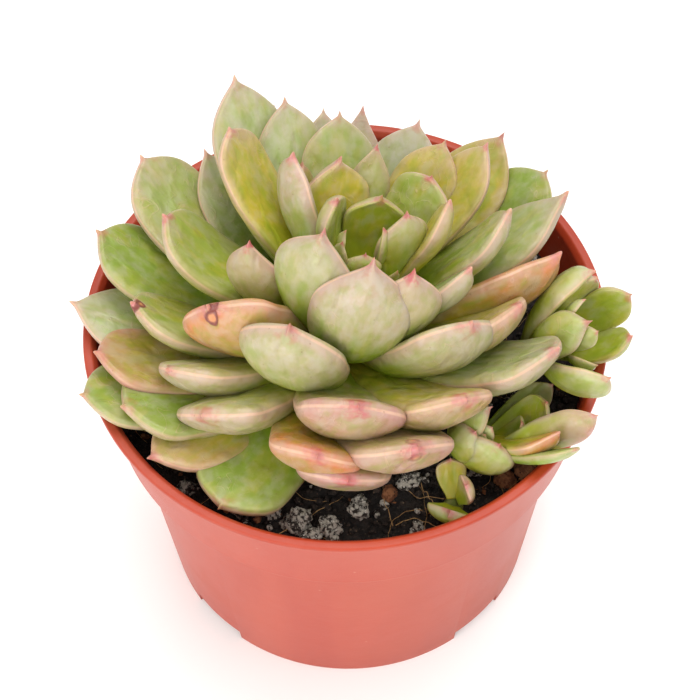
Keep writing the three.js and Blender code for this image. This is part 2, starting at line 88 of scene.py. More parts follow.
class Graph:
    """A node tree that is built by short calls."""

    def __init__(self, tree: bpy.types.NodeTree) -> None:
        """Starts with an empty tree."""
        self.tree = tree
        tree.nodes.clear()

    def add(self, kind: str, **settings: object) -> bpy.types.Node:
        """A new node with its properties set.

        Args:
            kind: Blender's name of the node's type.
            settings: properties of the node by name.

        Returns:
            The node.
        """
        node = self.tree.nodes.new(kind)
        for name, value in settings.items():
            setattr(node, name, value)
        return node

    def feed(self, socket: Socket, value: Value) -> None:
        """Links a socket to another one, or sets its own value.

        Args:
            socket: the input to feed.
            value: an output, or a plain value.
        """
        if isinstance(value, Socket):
            self.tree.links.new(value, socket)
        else:
            socket.default_value = value

    def wire(self, node: bpy.types.Node, values: dict[str, Value]) -> None:
        """Feeds a node's inputs by name."""
        for name, value in values.items():
            self.feed(node.inputs[name], value)

    def math(self, operation: str, *values: Value, clamp: bool = False) -> Socket:
        """Works a number out of others.

        Args:
            operation: Blender's name of the operation.
            values: up to three numbers.
            clamp: whether the result is kept between 0 and 1.

        Returns:
            The result.
        """
        node = self.add("ShaderNodeMath", operation=operation, use_clamp=clamp)
        for socket, value in zip(node.inputs, values):
            self.feed(socket, value)
        return node.outputs[0]

    def product(self, *values: Value) -> Socket:
        """All the values multiplied together."""
        return reduce(partial(self.math, "MULTIPLY"), values)

    def blend(self, share: Value, first: Value, second: Value) -> Socket:
        """Mixes two colours.

        Args:
            share: how much there is of the second, from 0 to 1.
            first: the colour at share 0.
            second: the colour at share 1.

        Returns:
            The mixed colour.
        """
        node = self.add("ShaderNodeMix", data_type="RGBA", clamp_factor=True)
        for number, value in ((0, share), (6, first), (7, second)):
            self.feed(node.inputs[number], value)
        return node.outputs[2]

    def ramp(
        self, value: Value, low: Value, high: Value, start: Value = 0.0, end: Value = 1.0
    ) -> Socket:
        """Goes smoothly from one number to another.

        Args:
            value: what it follows.
            low: the value at which the change starts.
            high: the value at which the change is complete.
            start: the result up to low.
            end: the result from high on.

        Returns:
            The result.
        """
        node = self.add("ShaderNodeMapRange", interpolation_type="SMOOTHSTEP")
        for socket, item in zip(node.inputs, (value, low, high, start, end)):
            self.feed(socket, item)
        return node.outputs[0]

    def noise(
        self, place: Value, scale: Value, detail: float = 2.0, rough: float = 0.5, warp: float = 0.0
    ) -> Socket:
        """Smooth noise, mostly between 0.3 and 0.7.

        Args:
            place: where it is read.
            scale: how many swells a millimetre has.
            detail: how many finer layers lie over it.
            rough: how strong the finer layers are.
            warp: how far it is twisted.

        Returns:
            The noise.
        """
        node = self.add("ShaderNodeTexNoise")
        for name, value in zip(
            ("Vector", "Scale", "Detail", "Roughness", "Distortion"),
            (place, scale, detail, rough, warp),
        ):
            self.feed(node.inputs[name], value)
        return node.outputs[0]

    def stretch(self, place: Value, scale: Sequence[float]) -> Socket:
        """Scales each axis of a place by its own factor.

        Args:
            place: the place.
            scale: the three factors.

        Returns:
            The scaled place.
        """
        node = self.add("ShaderNodeVectorMath", operation="MULTIPLY")
        self.feed(node.inputs[0], place)
        self.feed(node.inputs[1], scale)
        return node.outputs[0]

    def place(self) -> Socket:
        """The surface's place in millimetres."""
        return self.stretch(self.add("ShaderNodeTexCoord").outputs["Object"], (1 / MM,) * 3)

    def attribute(self, name: str) -> bpy.types.Node:
        """The node that reads a mesh attribute."""
        return self.add("ShaderNodeAttribute", attribute_name=name)

    def group(self, tree: bpy.types.NodeTree, **inputs: Value) -> bpy.types.Node:
        """Places a group.

        Args:
            tree: the group's tree.
            inputs: what feeds each input by name, an underscore standing for a space.

        Returns:
            The group's node.
        """
        node = self.add("ShaderNodeGroup", node_tree=tree)
        self.wire(node, {name.replace("_", " "): value for name, value in inputs.items()})
        return node

    def bump(self, height: Value) -> Socket:
        """Bends the normal by a relief.

        Args:
            height: the relief in millimetres.

        Returns:
            The normal.
        """
        node = self.add("ShaderNodeBump")
        self.wire(node, {"Distance": MM, "Height": height})
        return node.outputs[0]


class Kind(Enum):
    """The kinds of socket that a group has."""

    NUMBER = "NodeSocketFloat"
    COLOUR = "NodeSocketColor"
    VECTOR = "NodeSocketVector"


Fill = Callable[[Graph, Sockets], dict[str, Value]]


def make_group(
    name: str, inputs: dict[str, Kind], outputs: dict[str, Kind], fill: Fill
) -> bpy.types.NodeTree:
    """A shader node group.

    Args:
        name: the group's name.
        inputs: the kind of each input by name.
        outputs: the kind of each output by name.
        fill: builds the nodes from the graph and the group's inputs, and returns what feeds
            each output.

    Returns:
        The group's tree.
    """
    tree = bpy.data.node_groups.new(name, "ShaderNodeTree")
    for way, sockets in (("INPUT", inputs), ("OUTPUT", outputs)):
        for label, kind in sockets.items():
            tree.interface.new_socket(label, in_out=way, socket_type=kind.value)
    graph = Graph(tree)
    entry = graph.add("NodeGroupInput")
    graph.wire(graph.add("NodeGroupOutput"), fill(graph, entry.outputs))
    return tree


def surface_group(fill: Fill, output: str, *numbers: str) -> bpy.types.NodeTree:
    """A group that makes one number from a place and some numbers, named after what fills it."""
    inputs = {"Place": Kind.VECTOR} | dict.fromkeys(numbers, Kind.NUMBER)
    return make_group(fill.__name__, inputs, {output: Kind.NUMBER}, fill)


# ------------------------------------------------------------------ effects


def patches(graph: Graph, entry: Sockets) -> dict[str, Value]:
    """Soft patches that cover about a given share of the surface.

    Args:
        graph: the group's graph.
        entry: the group's inputs.

    Returns:
        What feeds each output.
    """
    level = graph.math("MULTIPLY_ADD", entry["Cover"], -0.4, 0.7)
    low = graph.math("SUBTRACT", level, entry["Softness"])
    high = graph.math("ADD", level, entry["Softness"])
    cloud = graph.noise(entry["Place"], entry["Scale"], 3.0, 0.55)
    return {"Mask": graph.ramp(cloud, low, high)}


def specks(graph: Graph, entry: Sockets) -> dict[str, Value]:
    """Small round specks, in a share of the cells of a scatter.

    Args:
        graph: the group's graph.
        entry: the group's inputs.

    Returns:
        What feeds each output.
    """
    cells = graph.add("ShaderNodeTexVoronoi")
    graph.wire(cells, {"Vector": entry["Place"], "Scale": entry["Scale"]})
    inner = graph.math("MULTIPLY", entry["Size"], 0.5)
    dot = graph.ramp(cells.outputs["Distance"], inner, entry["Size"], 1.0, 0.0)
    parts = graph.add("ShaderNodeSeparateColor")
    graph.feed(parts.inputs[0], cells.outputs["Color"])
    kept = graph.math("LESS_THAN", parts.outputs[0], entry["Share"])
    return {"Mask": graph.product(dot, kept)}


def grain(graph: Graph, entry: Sockets) -> dict[str, Value]:
    """Fine relief in millimetres, as high above zero as below it.

    Args:
        graph: the group's graph.
        entry: the group's inputs.

    Returns:
        What feeds each output.
    """
    rough = graph.noise(entry["Place"], entry["Scale"], 6.0, 0.62)
    centred = graph.math("SUBTRACT", rough, 0.5)
    return {"Height": graph.product(centred, entry["Depth"])}


def wax_marks(graph: Graph, entry: Sockets) -> dict[str, Value]:
    """Thin curled marks, as dried drops leave in a leaf's waxy bloom, in some patches only.

    Args:
        graph: the group's graph.
        entry: the group's inputs.

    Returns:
        What feeds each output.
    """
    cloud = graph.noise(entry["Place"], entry["Scale"], 1.0, 0.5, 1.4)
    away = graph.math("ABSOLUTE", graph.math("SUBTRACT", cloud, 0.5))
    line = graph.ramp(away, 0.0, entry["Width"], 1.0, 0.0)
    wide = graph.noise(entry["Place"], graph.math("MULTIPLY", entry["Scale"], 0.45), 1.0)
    level = graph.math("MULTIPLY_ADD", entry["Cover"], -0.4, 0.7)
    patch = graph.ramp(wide, level, graph.math("ADD", level, 0.08))
    return {"Mask": graph.product(line, patch)}


# inputs of the leaf's group: mesh attributes, parts of the tint attribute, colours of the finish
LEAF_VALUES = ("Along", "Rim", "To Tip", "Blush", "Scar")
LEAF_TINTS = ("Fresh", "Yellow", "Flush", "Bloom")
LEAF_COLOURS = (
    "Sage", "Green", "Warm", "Dusk", "Underside", "Flushed", "Rosy", "Tip", "Margin", "Wax",
)  # fmt: skip


class Effects:
    """The shader groups that the finishes share, each built once."""

    def __init__(self) -> None:
        """Builds the groups."""
        self.patches = surface_group(patches, "Mask", "Scale", "Cover", "Softness")
        self.specks = surface_group(specks, "Mask", "Scale", "Size", "Share")
        self.grain = surface_group(grain, "Height", "Scale", "Depth")
        self.wax_marks = surface_group(wax_marks, "Mask", "Scale", "Width", "Cover")
        inputs = dict.fromkeys(("Place", "Leaf Place"), Kind.VECTOR)
        inputs |= dict.fromkeys((*LEAF_VALUES, *LEAF_TINTS), Kind.NUMBER)
        inputs |= dict.fromkeys(LEAF_COLOURS, Kind.COLOUR)
        outputs = {"Colour": Kind.COLOUR, "Roughness": Kind.NUMBER, "Height": Kind.NUMBER}
        self.leaf_skin = make_group("leaf_skin", inputs, outputs, self.fill_leaf_skin)

    def fill_leaf_skin(self, graph: Graph, entry: Sockets) -> dict[str, Value]:
        """Fills the leaf's group with its layers."""
        return LeafSkin(graph, entry, self).results()


class LeafSkin:
    """The layers of a leaf's skin, from the flesh out to the margin.

    Of the group's inputs, Along is the share of the leaf's length, Rim the signed way from the
    margin, above zero on the upper face, and To Tip the way from the tip, both in millimetres.
    """

    speck = "7a5138"
    scab = "7c4038"
    healed = "cf8a5e"
    scar_from_tip = 3.2

    def __init__(self, graph: Graph, entry: Sockets, effects: Effects) -> None:
        """Takes the inputs, and lays the clouds and ways that more than one layer needs.

        Args:
            graph: the group's graph.
            entry: the group's inputs.
            effects: the groups that are built already.
        """
        self.graph, self.entry, self.effects = graph, entry, effects
        small = graph.group(
            effects.patches, Place=entry["Leaf Place"], Scale=0.42, Cover=0.5, Softness=0.14
        )
        self.small = small.outputs[0]
        self.mottle = self.cloud(0.7, 0.35, 3.0)
        self.streaks = self.cloud(0.2, 0.4)
        self.broad = self.cloud(0.6, 0.16, warp=0.4)
        self.away = graph.math("ABSOLUTE", entry["Rim"])
        wander = graph.math("MULTIPLY_ADD", self.streaks, 0.5, -0.25)
        self.reach = graph.math("ADD", entry["Along"], wander)
        self.out = graph.ramp(self.reach, 0.35, 0.85)
        self.tip_way = graph.math("MULTIPLY_ADD", self.small, 2.4, entry["To Tip"])

    def cloud(
        self, length: float, scale: float, detail: float = 2.0, rough: float = 0.5, warp: float = 0.0
    ) -> Socket:
        """Noise in the leaf's own place, its swells drawn out along the leaf by 1 / length."""
        place = self.graph.stretch(self.entry["Leaf Place"], (1.0, length, 1.0))
        return self.graph.noise(place, scale, detail, rough, warp)

    def over(self, share: Value, skin: Value, name: str) -> Socket:
        """The skin with a share of one of the finish's colours over it."""
        return self.graph.blend(share, skin, self.entry[name])

    def face(self) -> Socket:
        """The flesh, green at the root, then sage, then dull and rosy towards the tip.

        Returns:
            Its colour.
        """
        graph, entry = self.graph, self.entry
        rooted = graph.ramp(self.reach, 0.3, 0.9, 1.0, 0.0)
        face = self.over(graph.math("MAXIMUM", rooted, entry["Fresh"]), entry["Sage"], "Green")
        sunned = graph.ramp(self.broad, 0.48, 0.64)
        yellowed = graph.math("MULTIPLY_ADD", sunned, 0.3, entry["Yellow"])
        yellowed = graph.product(yellowed, graph.ramp(self.streaks, 0.25, 0.6, 0.55, 1.0))
        face = self.over(yellowed, face, "Warm")
        wide = graph.group(
            self.effects.patches, Place=entry["Place"], Scale=0.11, Cover=0.5, Softness=0.16
        )
        shaded = self.over(0.45, face, "Green")
        face = graph.blend(graph.product(wide.outputs[0], 0.4), face, shaded)
        old = graph.ramp(entry["Fresh"], 0.0, 1.0, 0.6, 0.1)
        return self.over(graph.product(graph.ramp(self.reach, 0.75, 1.1), old), face, "Dusk")

    def below(self, face: Value) -> Socket:
        """The underside, green from the root, pale and dull towards the tip and the margin.

        Args:
            face: the flesh's colour.

        Returns:
            Its colour.
        """
        graph, entry = self.graph, self.entry
        gentle = graph.math("SUBTRACT", entry["Along"], 0.125)
        gentle = graph.math("MULTIPLY_ADD", self.streaks, 0.25, gentle)
        green = graph.ramp(gentle, 0.4, 0.98, 1.0, 0.08)
        green = graph.math("MULTIPLY_ADD", entry["Fresh"], 0.6, green, clamp=True)
        green = graph.product(green, graph.ramp(self.away, 0.3, 4.0, 0.4, 1.0))
        pale = graph.product(
            graph.ramp(self.away, 0.4, 3.0, 0.24, 0.0),
            graph.ramp(entry["Along"], 0.15, 0.5),
            graph.ramp(entry["Flush"], 0.3, 0.8, 1.0, 0.3),
        )
        return self.over(pale, graph.blend(green, entry["Underside"], face), "Margin")

    def flushed(self, skin: Value) -> Socket:
        """The flush, strongest near the margin and the tip.

        Args:
            skin: the colour so far.

        Returns:
            The colour with it.
        """
        graph, entry = self.graph, self.entry
        near = graph.ramp(self.away, 0.5, 6.0, 1.0, 0.6)
        broad = graph.ramp(self.broad, 0.35, 0.65, 1.0, 0.5)
        tone = self.over(graph.ramp(entry["Yellow"], 0.3, 0.6), entry["Rosy"], "Flushed")
        return graph.blend(graph.product(entry["Flush"], near, self.out, broad), skin, tone)

    def bloomed(self, skin: Value) -> Socket:
        """The waxy bloom in patches, and greener mottles where it is thin.

        Args:
            skin: the colour so far.

        Returns:
            The colour with it.
        """
        graph = self.graph
        patchy = graph.ramp(self.small, 0.0, 1.0, 0.5, 1.0)
        bloom = graph.product(self.entry["Bloom"], self.out, patchy)
        skin = self.over(graph.product(bloom, 0.5), skin, "Wax")
        dust = graph.ramp(self.mottle, 0.42, 0.68, 0.0, 0.22)
        skin = self.over(graph.product(dust, graph.ramp(self.reach, 0.2, 0.6)), skin, "Wax")
        return self.over(graph.ramp(self.mottle, 0.3, 0.55, 0.3, 0.0), skin, "Green")

    def edged(self, skin: Value) -> Socket:
        """The red point, and the pale margin with its rosy halo.

        Args:
            skin: the colour so far.

        Returns:
            The colour with them.
        """
        graph, entry = self.graph, self.entry
        pointed = graph.product(graph.ramp(self.tip_way, 1.2, 6.0, 1.0, 0.0), entry["Blush"])
        skin = self.over(pointed, skin, "Tip")
        outer = graph.ramp(entry["Along"], 0.25, 0.75, 0.1, 0.8)
        shown = graph.product(outer, graph.ramp(entry["Fresh"], 0.2, 0.9, 1.0, 0.45))
        halo = graph.ramp(self.away, 0.3, 3.8, 0.5, 0.0)
        skin = self.over(graph.product(halo, shown), skin, "Dusk")
        blush = graph.product(graph.ramp(self.tip_way, 1.5, 7.5, 0.8, 0.0), entry["Blush"])
        line = graph.ramp(self.away, 0.15, 0.55, 0.8, 0.0)
        return graph.blend(
            graph.product(line, shown), skin, self.over(blush, entry["Margin"], "Tip")
        )

    def scar_way(self) -> Socket:
        """The uneven way from the middle of a scar that lies a little behind the tip.

        Returns:
            The way in millimetres.
        """
        graph = self.graph
        sides = graph.add("ShaderNodeSeparateXYZ")
        graph.feed(sides.inputs[0], self.entry["Leaf Place"])
        back = graph.math("SUBTRACT", self.entry["To Tip"], self.scar_from_tip)
        side = graph.math("POWER", sides.outputs[0], 2.0)
        way = graph.math("SQRT", graph.math("ADD", graph.product(back, back), side))
        return graph.math("MULTIPLY_ADD", self.mottle, 2.4, way)

    def results(self) -> dict[str, Value]:
        """Lays the layers over each other.

        Returns:
            What feeds each output.
        """
        graph, entry = self.graph, self.entry
        face = self.face()
        skin = graph.blend(graph.ramp(entry["Rim"], -0.5, 0.2), self.below(face), face)
        for layer in (self.flushed, self.bloomed, self.edged):
            skin = layer(skin)
        marks = graph.group(
            self.effects.wax_marks, Place=entry["Leaf Place"], Scale=0.16, Width=0.02, Cover=0.5
        )
        marked = graph.product(marks.outputs[0], self.out)
        skin = self.over(graph.product(marked, 0.2), skin, "Margin")
        dots = graph.group(
            self.effects.specks, Place=entry["Place"], Scale=0.55, Size=0.16, Share=0.12
        )
        skin = graph.blend(graph.product(dots.outputs[0], 0.3), skin, colour(self.speck))

        # a healed scar is a dark ring round a dry middle
        way = self.scar_way()
        scarred = graph.product(graph.ramp(way, 2.6, 3.2, 1.0, 0.0), entry["Scar"])
        dry = graph.ramp(way, 1.5, 2.4, 1.0, 0.0)
        skin = graph.blend(scarred, skin, graph.blend(dry, colour(self.scab), colour(self.healed)))

        fine = graph.group(self.effects.grain, Place=entry["Place"], Scale=1.2, Depth=0.04)
        dents = self.cloud(0.6, 0.24, 1.5, 0.45, 0.5)
        height = graph.math("MULTIPLY_ADD", dents, 0.9, fine.outputs[0])
        height = graph.math("MULTIPLY_ADD", marked, 0.05, height)
        height = graph.math("MULTIPLY_ADD", scarred, -0.3, height)
        gloss = graph.math("MULTIPLY_ADD", self.small, 0.18, 0.3)
        return {"Colour": skin, "Roughness": gloss, "Height": height}


# ------------------------------------------------------------------ finishes


def new_material(name: str) -> tuple[bpy.types.Material, Graph, bpy.types.Node]:
    """A material with an empty graph, but for its shader and output.

    Args:
        name: the material's name.

    Returns:
        The material, its graph and its Principled shader.
    """
    material = bpy.data.materials.new(name)
    material.use_nodes = True
    graph = Graph(material.node_tree)
    shader = graph.add("ShaderNodeBsdfPrincipled")
    graph.wire(graph.add("ShaderNodeOutputMaterial"), {"Surface": shader.outputs[0]})
    return material, graph, shader


@dataclass(frozen=True)
class LeafFinish:
    """Waxy living leaf, coloured by the attributes of its mesh."""

    name: str
    sage: str = "9eab68"
    green: str = "7a9618"
    warm: str = "beab2c"
    dusk: str = "b6958a"
    underside: str = "aa9a74"
    flushed: str = "cc6c2a"
    rosy: str = "b8766e"
    tip: str = "b9525a"
    margin: str = "dab198"
    wax: str = "bab4a6"

    def material(self, effects: Effects) -> bpy.types.Material:
        """Makes the material.

        Args:
            effects: the shared shader groups.

        Returns:
            The material.
        """
        material, graph, shader = new_material(self.name)
        own = graph.attribute("leaf_place").outputs["Vector"]
        skin = graph.group(effects.leaf_skin, Place=graph.place(), Leaf_Place=own)
        for label in LEAF_VALUES:
            value = graph.attribute(label.lower().replace(" ", "_"))
            graph.feed(skin.inputs[label], value.outputs["Fac"])
        tint = graph.attribute("tint")
        parts = graph.add("ShaderNodeSeparateColor")
        graph.feed(parts.inputs[0], tint.outputs["Color"])
        graph.wire(skin, dict(zip(LEAF_TINTS, (*parts.outputs, tint.outputs["Alpha"]))))
        graph.wire(skin, {label: colour(getattr(self, label.lower())) for label in LEAF_COLOURS})
        finish = {
            "Base Color": skin.outputs["Colour"],
            "Roughness": skin.outputs["Roughness"],
            "Normal": graph.bump(skin.outputs["Height"]),
            "Subsurface Weight": 0.3,
            "Subsurface Radius": (0.8, 1.0, 0.35),
            "Subsurface Scale": 2.5 * MM,
            "Specular IOR Level": 0.45,
        }
        graph.wire(shader, finish)
        return material


@dataclass(frozen=True)
class PlasticFinish:
    """Matt moulded plastic with a fine grain and faint flow marks."""

    name: str
    body: str = "a8361a"
    pale: str = "b6472a"
    dust: str = "c9a595"

    def material(self, effects: Effects) -> bpy.types.Material:
        """Makes the material.

        Args:
            effects: the shared shader groups.

        Returns:
            The material.
        """
        material, graph, shader = new_material(self.name)
        place, dust = graph.place(), colour(self.dust)
        flow = graph.noise(graph.stretch(place, (1.0, 1.0, 0.15)), 0.05, 3.0, 0.5, 0.6)
        flow = graph.ramp(flow, 0.35, 0.7, 0.0, 0.5)
        scuffs = graph.group(effects.patches, Place=place, Scale=0.03, Cover=0.35, Softness=0.1)
        dots = graph.group(effects.specks, Place=place, Scale=0.35, Size=0.12, Share=0.05)
        base = graph.blend(flow, colour(self.body), colour(self.pale))
        base = graph.blend(graph.product(dots.outputs[0], 0.5), base, dust)
        base = graph.blend(graph.product(scuffs.outputs[0], 0.06), base, dust)
        fine = graph.group(effects.grain, Place=place, Scale=3.0, Depth=0.05)
        soft = graph.group(effects.grain, Place=place, Scale=0.12, Depth=0.12)
        finish = {
            "Base Color": base,
            "Roughness": graph.math("MULTIPLY_ADD", scuffs.outputs[0], 0.08, 0.36),
            "Normal": graph.bump(graph.math("ADD", fine.outputs[0], soft.outputs[0])),
            "Specular IOR Level": 0.4,
        }
        graph.wire(shader, finish)
        return material


@dataclass(frozen=True)
class CrumbFinish:
    """Rough crumbling matter in two colours with specks of a third."""

    name: str
    base: str
    second: str
    speck: str
    scale: float
    depth: float
    cover: float = 0.5
    speck_share: float = 0.2
    speck_scale: float = 1.4
    roughness: float = 0.9

    def material(self, effects: Effects) -> bpy.types.Material:
        """Makes the material.

        Args:
            effects: the shared shader groups.

        Returns:
            The material.
        """
        material, graph, shader = new_material(self.name)
        place = graph.place()
        blotch = graph.group(
            effects.patches, Place=place, Scale=self.scale, Cover=self.cover, Softness=0.08
        )
        dots = graph.group(
            effects.specks, Place=place, Scale=self.speck_scale, Size=0.4, Share=self.speck_share
        )
        base = graph.blend(blotch.outputs[0], colour(self.base), colour(self.second))
        rough = graph.group(effects.grain, Place=place, Scale=self.scale * 2.5, Depth=self.depth)
        finish = {
            "Base Color": graph.blend(dots.outputs[0], base, colour(self.speck)),
            "Roughness": graph.math("MULTIPLY_ADD", blotch.outputs[0], -0.2, self.roughness),
            "Normal": graph.bump(rough.outputs[0]),
        }
        graph.wire(shader, finish)
        return material


PEAT = CrumbFinish("peat", "1a1512", "2a211b", "463a30", 0.5, 0.9, cover=0.45, speck_share=0.25)
CRUMB = CrumbFinish("peat_crumb", "221b16", "40332a", "75634f", 1.3, 0.5, cover=0.4)
BARK = CrumbFinish("bark", "6a3f24", "8d5a35", "3b2416", 0.9, 0.4, speck_share=0.15)
DRY_ROOT = CrumbFinish("dry_root", "a07a4c", "c49c68", "7d5a38", 0.9, 0.1, speck_share=0.1)
PUMICE = CrumbFinish(
    "pumice", "d2cabc", "2c231b", "f2ede2", 0.9, 1.0, cover=0.48, speck_share=0.3, speck_scale=1.7
)


@dataclass(frozen=True)
class FloorFinish:
    """Plain pale studio floor."""

    name: str = "studio_floor"
    base: str = "f7f6f4"
    second: str = "f1f0ee"

    def material(self, effects: Effects) -> bpy.types.Material:
        """Makes the material.

        Args:
            effects: the shared shader groups.

        Returns:
            The material.
        """
        material, graph, shader = new_material(self.name)
        cloud = graph.group(
            effects.patches, Place=graph.place(), Scale=0.004, Cover=0.5, Softness=0.2
        )
        share = graph.product(cloud.outputs[0], 0.15)
        base = graph.blend(share, colour(self.base), colour(self.second))
        finish = {"Base Color": base, "Roughness": 0.8}
        finish |= {"Emission Color": base, "Emission Strength": 0.12}
        graph.wire(shader, finish)
        return material


# ------------------------------------------------------------------ meshes


@dataclass
class Skin:
    """A mesh in the making: points in millimetres, faces, and one value a point by name."""

    points: list[np.ndarray] = field(default_factory=list)
    faces: list[list[int]] = field(default_factory=list)
    values: dict[str, list[np.ndarray]] = field(default_factory=dict)
    count: int = 0

    def append(
        self, points: np.ndarray, faces: Sequence[Sequence[int]], **values: np.ndarray
    ) -> None:
        """Adds a closed shell.

        Args:
            points: its points.
            faces: its faces as lists of point numbers.
            values: the values of its points by name.
        """
        self.points.append(points)
        self.faces.extend([i + self.count for i in face] for face in faces)
        for name, array in values.items():
            self.values.setdefault(name, []).append(array)
        self.count += len(points)

    def make(self, name: str, material: bpy.types.Material) -> bpy.types.Object:
        """The object, in place on the pot's axis.

        Args:
            name: the piece's name.
            material: its finish.

        Returns:
            The object, linked to the scene.
        """
        places = np.concatenate(self.points) * MM + AXIS
        mesh = bpy.data.meshes.new(name)
        mesh.from_pydata(places.tolist(), [], self.faces)
        kinds = {1: ("FLOAT", "value"), 3: ("FLOAT_VECTOR", "vector"), 4: ("FLOAT_COLOR", "color")}
        for label, arrays in self.values.items():
            array = np.concatenate(arrays).astype(np.float32)
            kind, key = kinds[1 if array.ndim == 1 else array.shape[1]]
            layer = mesh.attributes.new(label, kind, "POINT")
            layer.data.foreach_set(key, array.ravel())
        mesh.materials.append(material)
        mesh.shade_smooth()
        obj = bpy.data.objects.new(name, mesh)
        bpy.context.scene.collection.objects.link(obj)
        return obj


def seat(obj: bpy.types.Object, node: str) -> None:
    """Lets a piece ride with the part in place of a CAD node.

    Args:
        obj: the piece.
        node: the CAD node's name.
    """
    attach(obj, BODY)
    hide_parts(node)


def ring_faces(rings: int, sides: int) -> list[list[int]]:
    """Quads between closed rings of points that follow each other.

    Args:
        rings: how many rings there are.
        sides: how many points each has.

    Returns:
        The faces as lists of point numbers.
    """
    faces = []
    for k in range(rings - 1):
        here, there = k * sides, (k + 1) * sides
        for i in range(sides):
            j = (i + 1) % sides
            faces.append([here + i, here + j, there + j, there + i])
    return faces


def lathe(profile: Sequence[tuple[float, float]], sides: int) -> Shell:
    """A closed body turned about the axis from (radius, height) points, its ends on the axis.

    Args:
        profile: the points, the first and last with radius 0.
        sides: points round the axis.

    Returns:
        Points in millimetres and faces.
    """
    turns = np.arange(sides) * 2 * math.pi / sides
    round_axis = np.stack([np.cos(turns), np.sin(turns)], 1)
    rings = [
        np.column_stack([radius * round_axis, np.full(sides, height)])
        for radius, height in profile[1:-1]
    ]
    count = len(rings)
    points = np.concatenate([*rings, [[0, 0, profile[0][1]], [0, 0, profile[-1][1]]]])
    faces = ring_faces(count, sides)
    first, last = count * sides, count * sides + 1
    for i in range(sides):
        j = (i + 1) % sides
        faces.append([first, j, i])
        faces.append([last, (count - 1) * sides + i, (count - 1) * sides + j])
    return points, faces


def tube(line: np.ndarray, radius: float, sides: int) -> Shell:
    """A thin closed tube along a line.

    Args:
        line: the points that it follows.
        radius: its radius, which shrinks towards the far end.
        sides: points round it.

    Returns:
        Points in millimetres and faces.
    """
    count = len(line)
    ahead = np.gradient(line, axis=0)
    ahead /= np.linalg.norm(ahead, axis=1)[:, None]
    side = np.cross(ahead, UPWARD)
    side /= np.linalg.norm(side, axis=1)[:, None]
    over = np.cross(side, ahead)
    turns = np.arange(sides) * 2 * math.pi / sides
    shrink = radius * (1 - 0.7 * np.linspace(0, 1, count) ** 2)
    rings = (
        line[:, None]
        + shrink[:, None, None] * np.cos(turns)[None, :, None] * side[:, None]
        + shrink[:, None, None] * np.sin(turns)[None, :, None] * over[:, None]
    )
    faces = [face[::-1] for face in ring_faces(count, sides)]
    faces.append(list(range(sides)))
    faces.append([(count - 1) * sides + i for i in range(sides)][::-1])
    return rings.reshape(-1, 3), faces


def rounded(
    corners: Sequence[tuple[float, float, float]], steps: int = 4
) -> list[tuple[float, float]]:
    """A profile whose corners are rounded.

    Args:
        corners: (radius, height, rounding) of each corner.
        steps: points in each rounding.

    Returns:
        (radius, height) points.
    """
    points: list[tuple[float, float]] = []
    for i, (r, z, fillet) in enumerate(corners):
        if fillet == 0 or i in (0, len(corners) - 1):
            points.append((r, z))
            continue
        here = Vector((r, z))
        before = Vector(corners[i - 1][:2]) - here
        after = Vector(corners[i + 1][:2]) - here
        start = here + before.normalized() * min(fillet, before.length / 2)
        end = here + after.normalized() * min(fillet, after.length / 2)
        for k in range(steps + 1):
            t = k / steps
            spot = start * (1 - t) ** 2 + here * 2 * t * (1 - t) + end * t * t
            points.append((spot.x, spot.y))
    return points


def ball(levels: int) -> Shell:
    """A sphere of radius 1 with near-even triangles.

    Args:
        levels: how finely it is divided.

    Returns:
        Points and faces.
    """
    shape = bmesh.new()
    bmesh.ops.create_icosphere(shape, subdivisions=levels, radius=1)
    points = np.array([v.co[:] for v in shape.verts])
    faces = [[v.index for v in f.verts] for f in shape.faces]
    shape.free()
    return points, faces


def turn_about(axis: Sequence[float], degrees: float) -> np.ndarray:
    """The rotation matrix for a turn about an axis."""
    return np.array(Matrix.Rotation(math.radians(degrees), 3, Vector(axis)))


# ------------------------------------------------------------------ pot


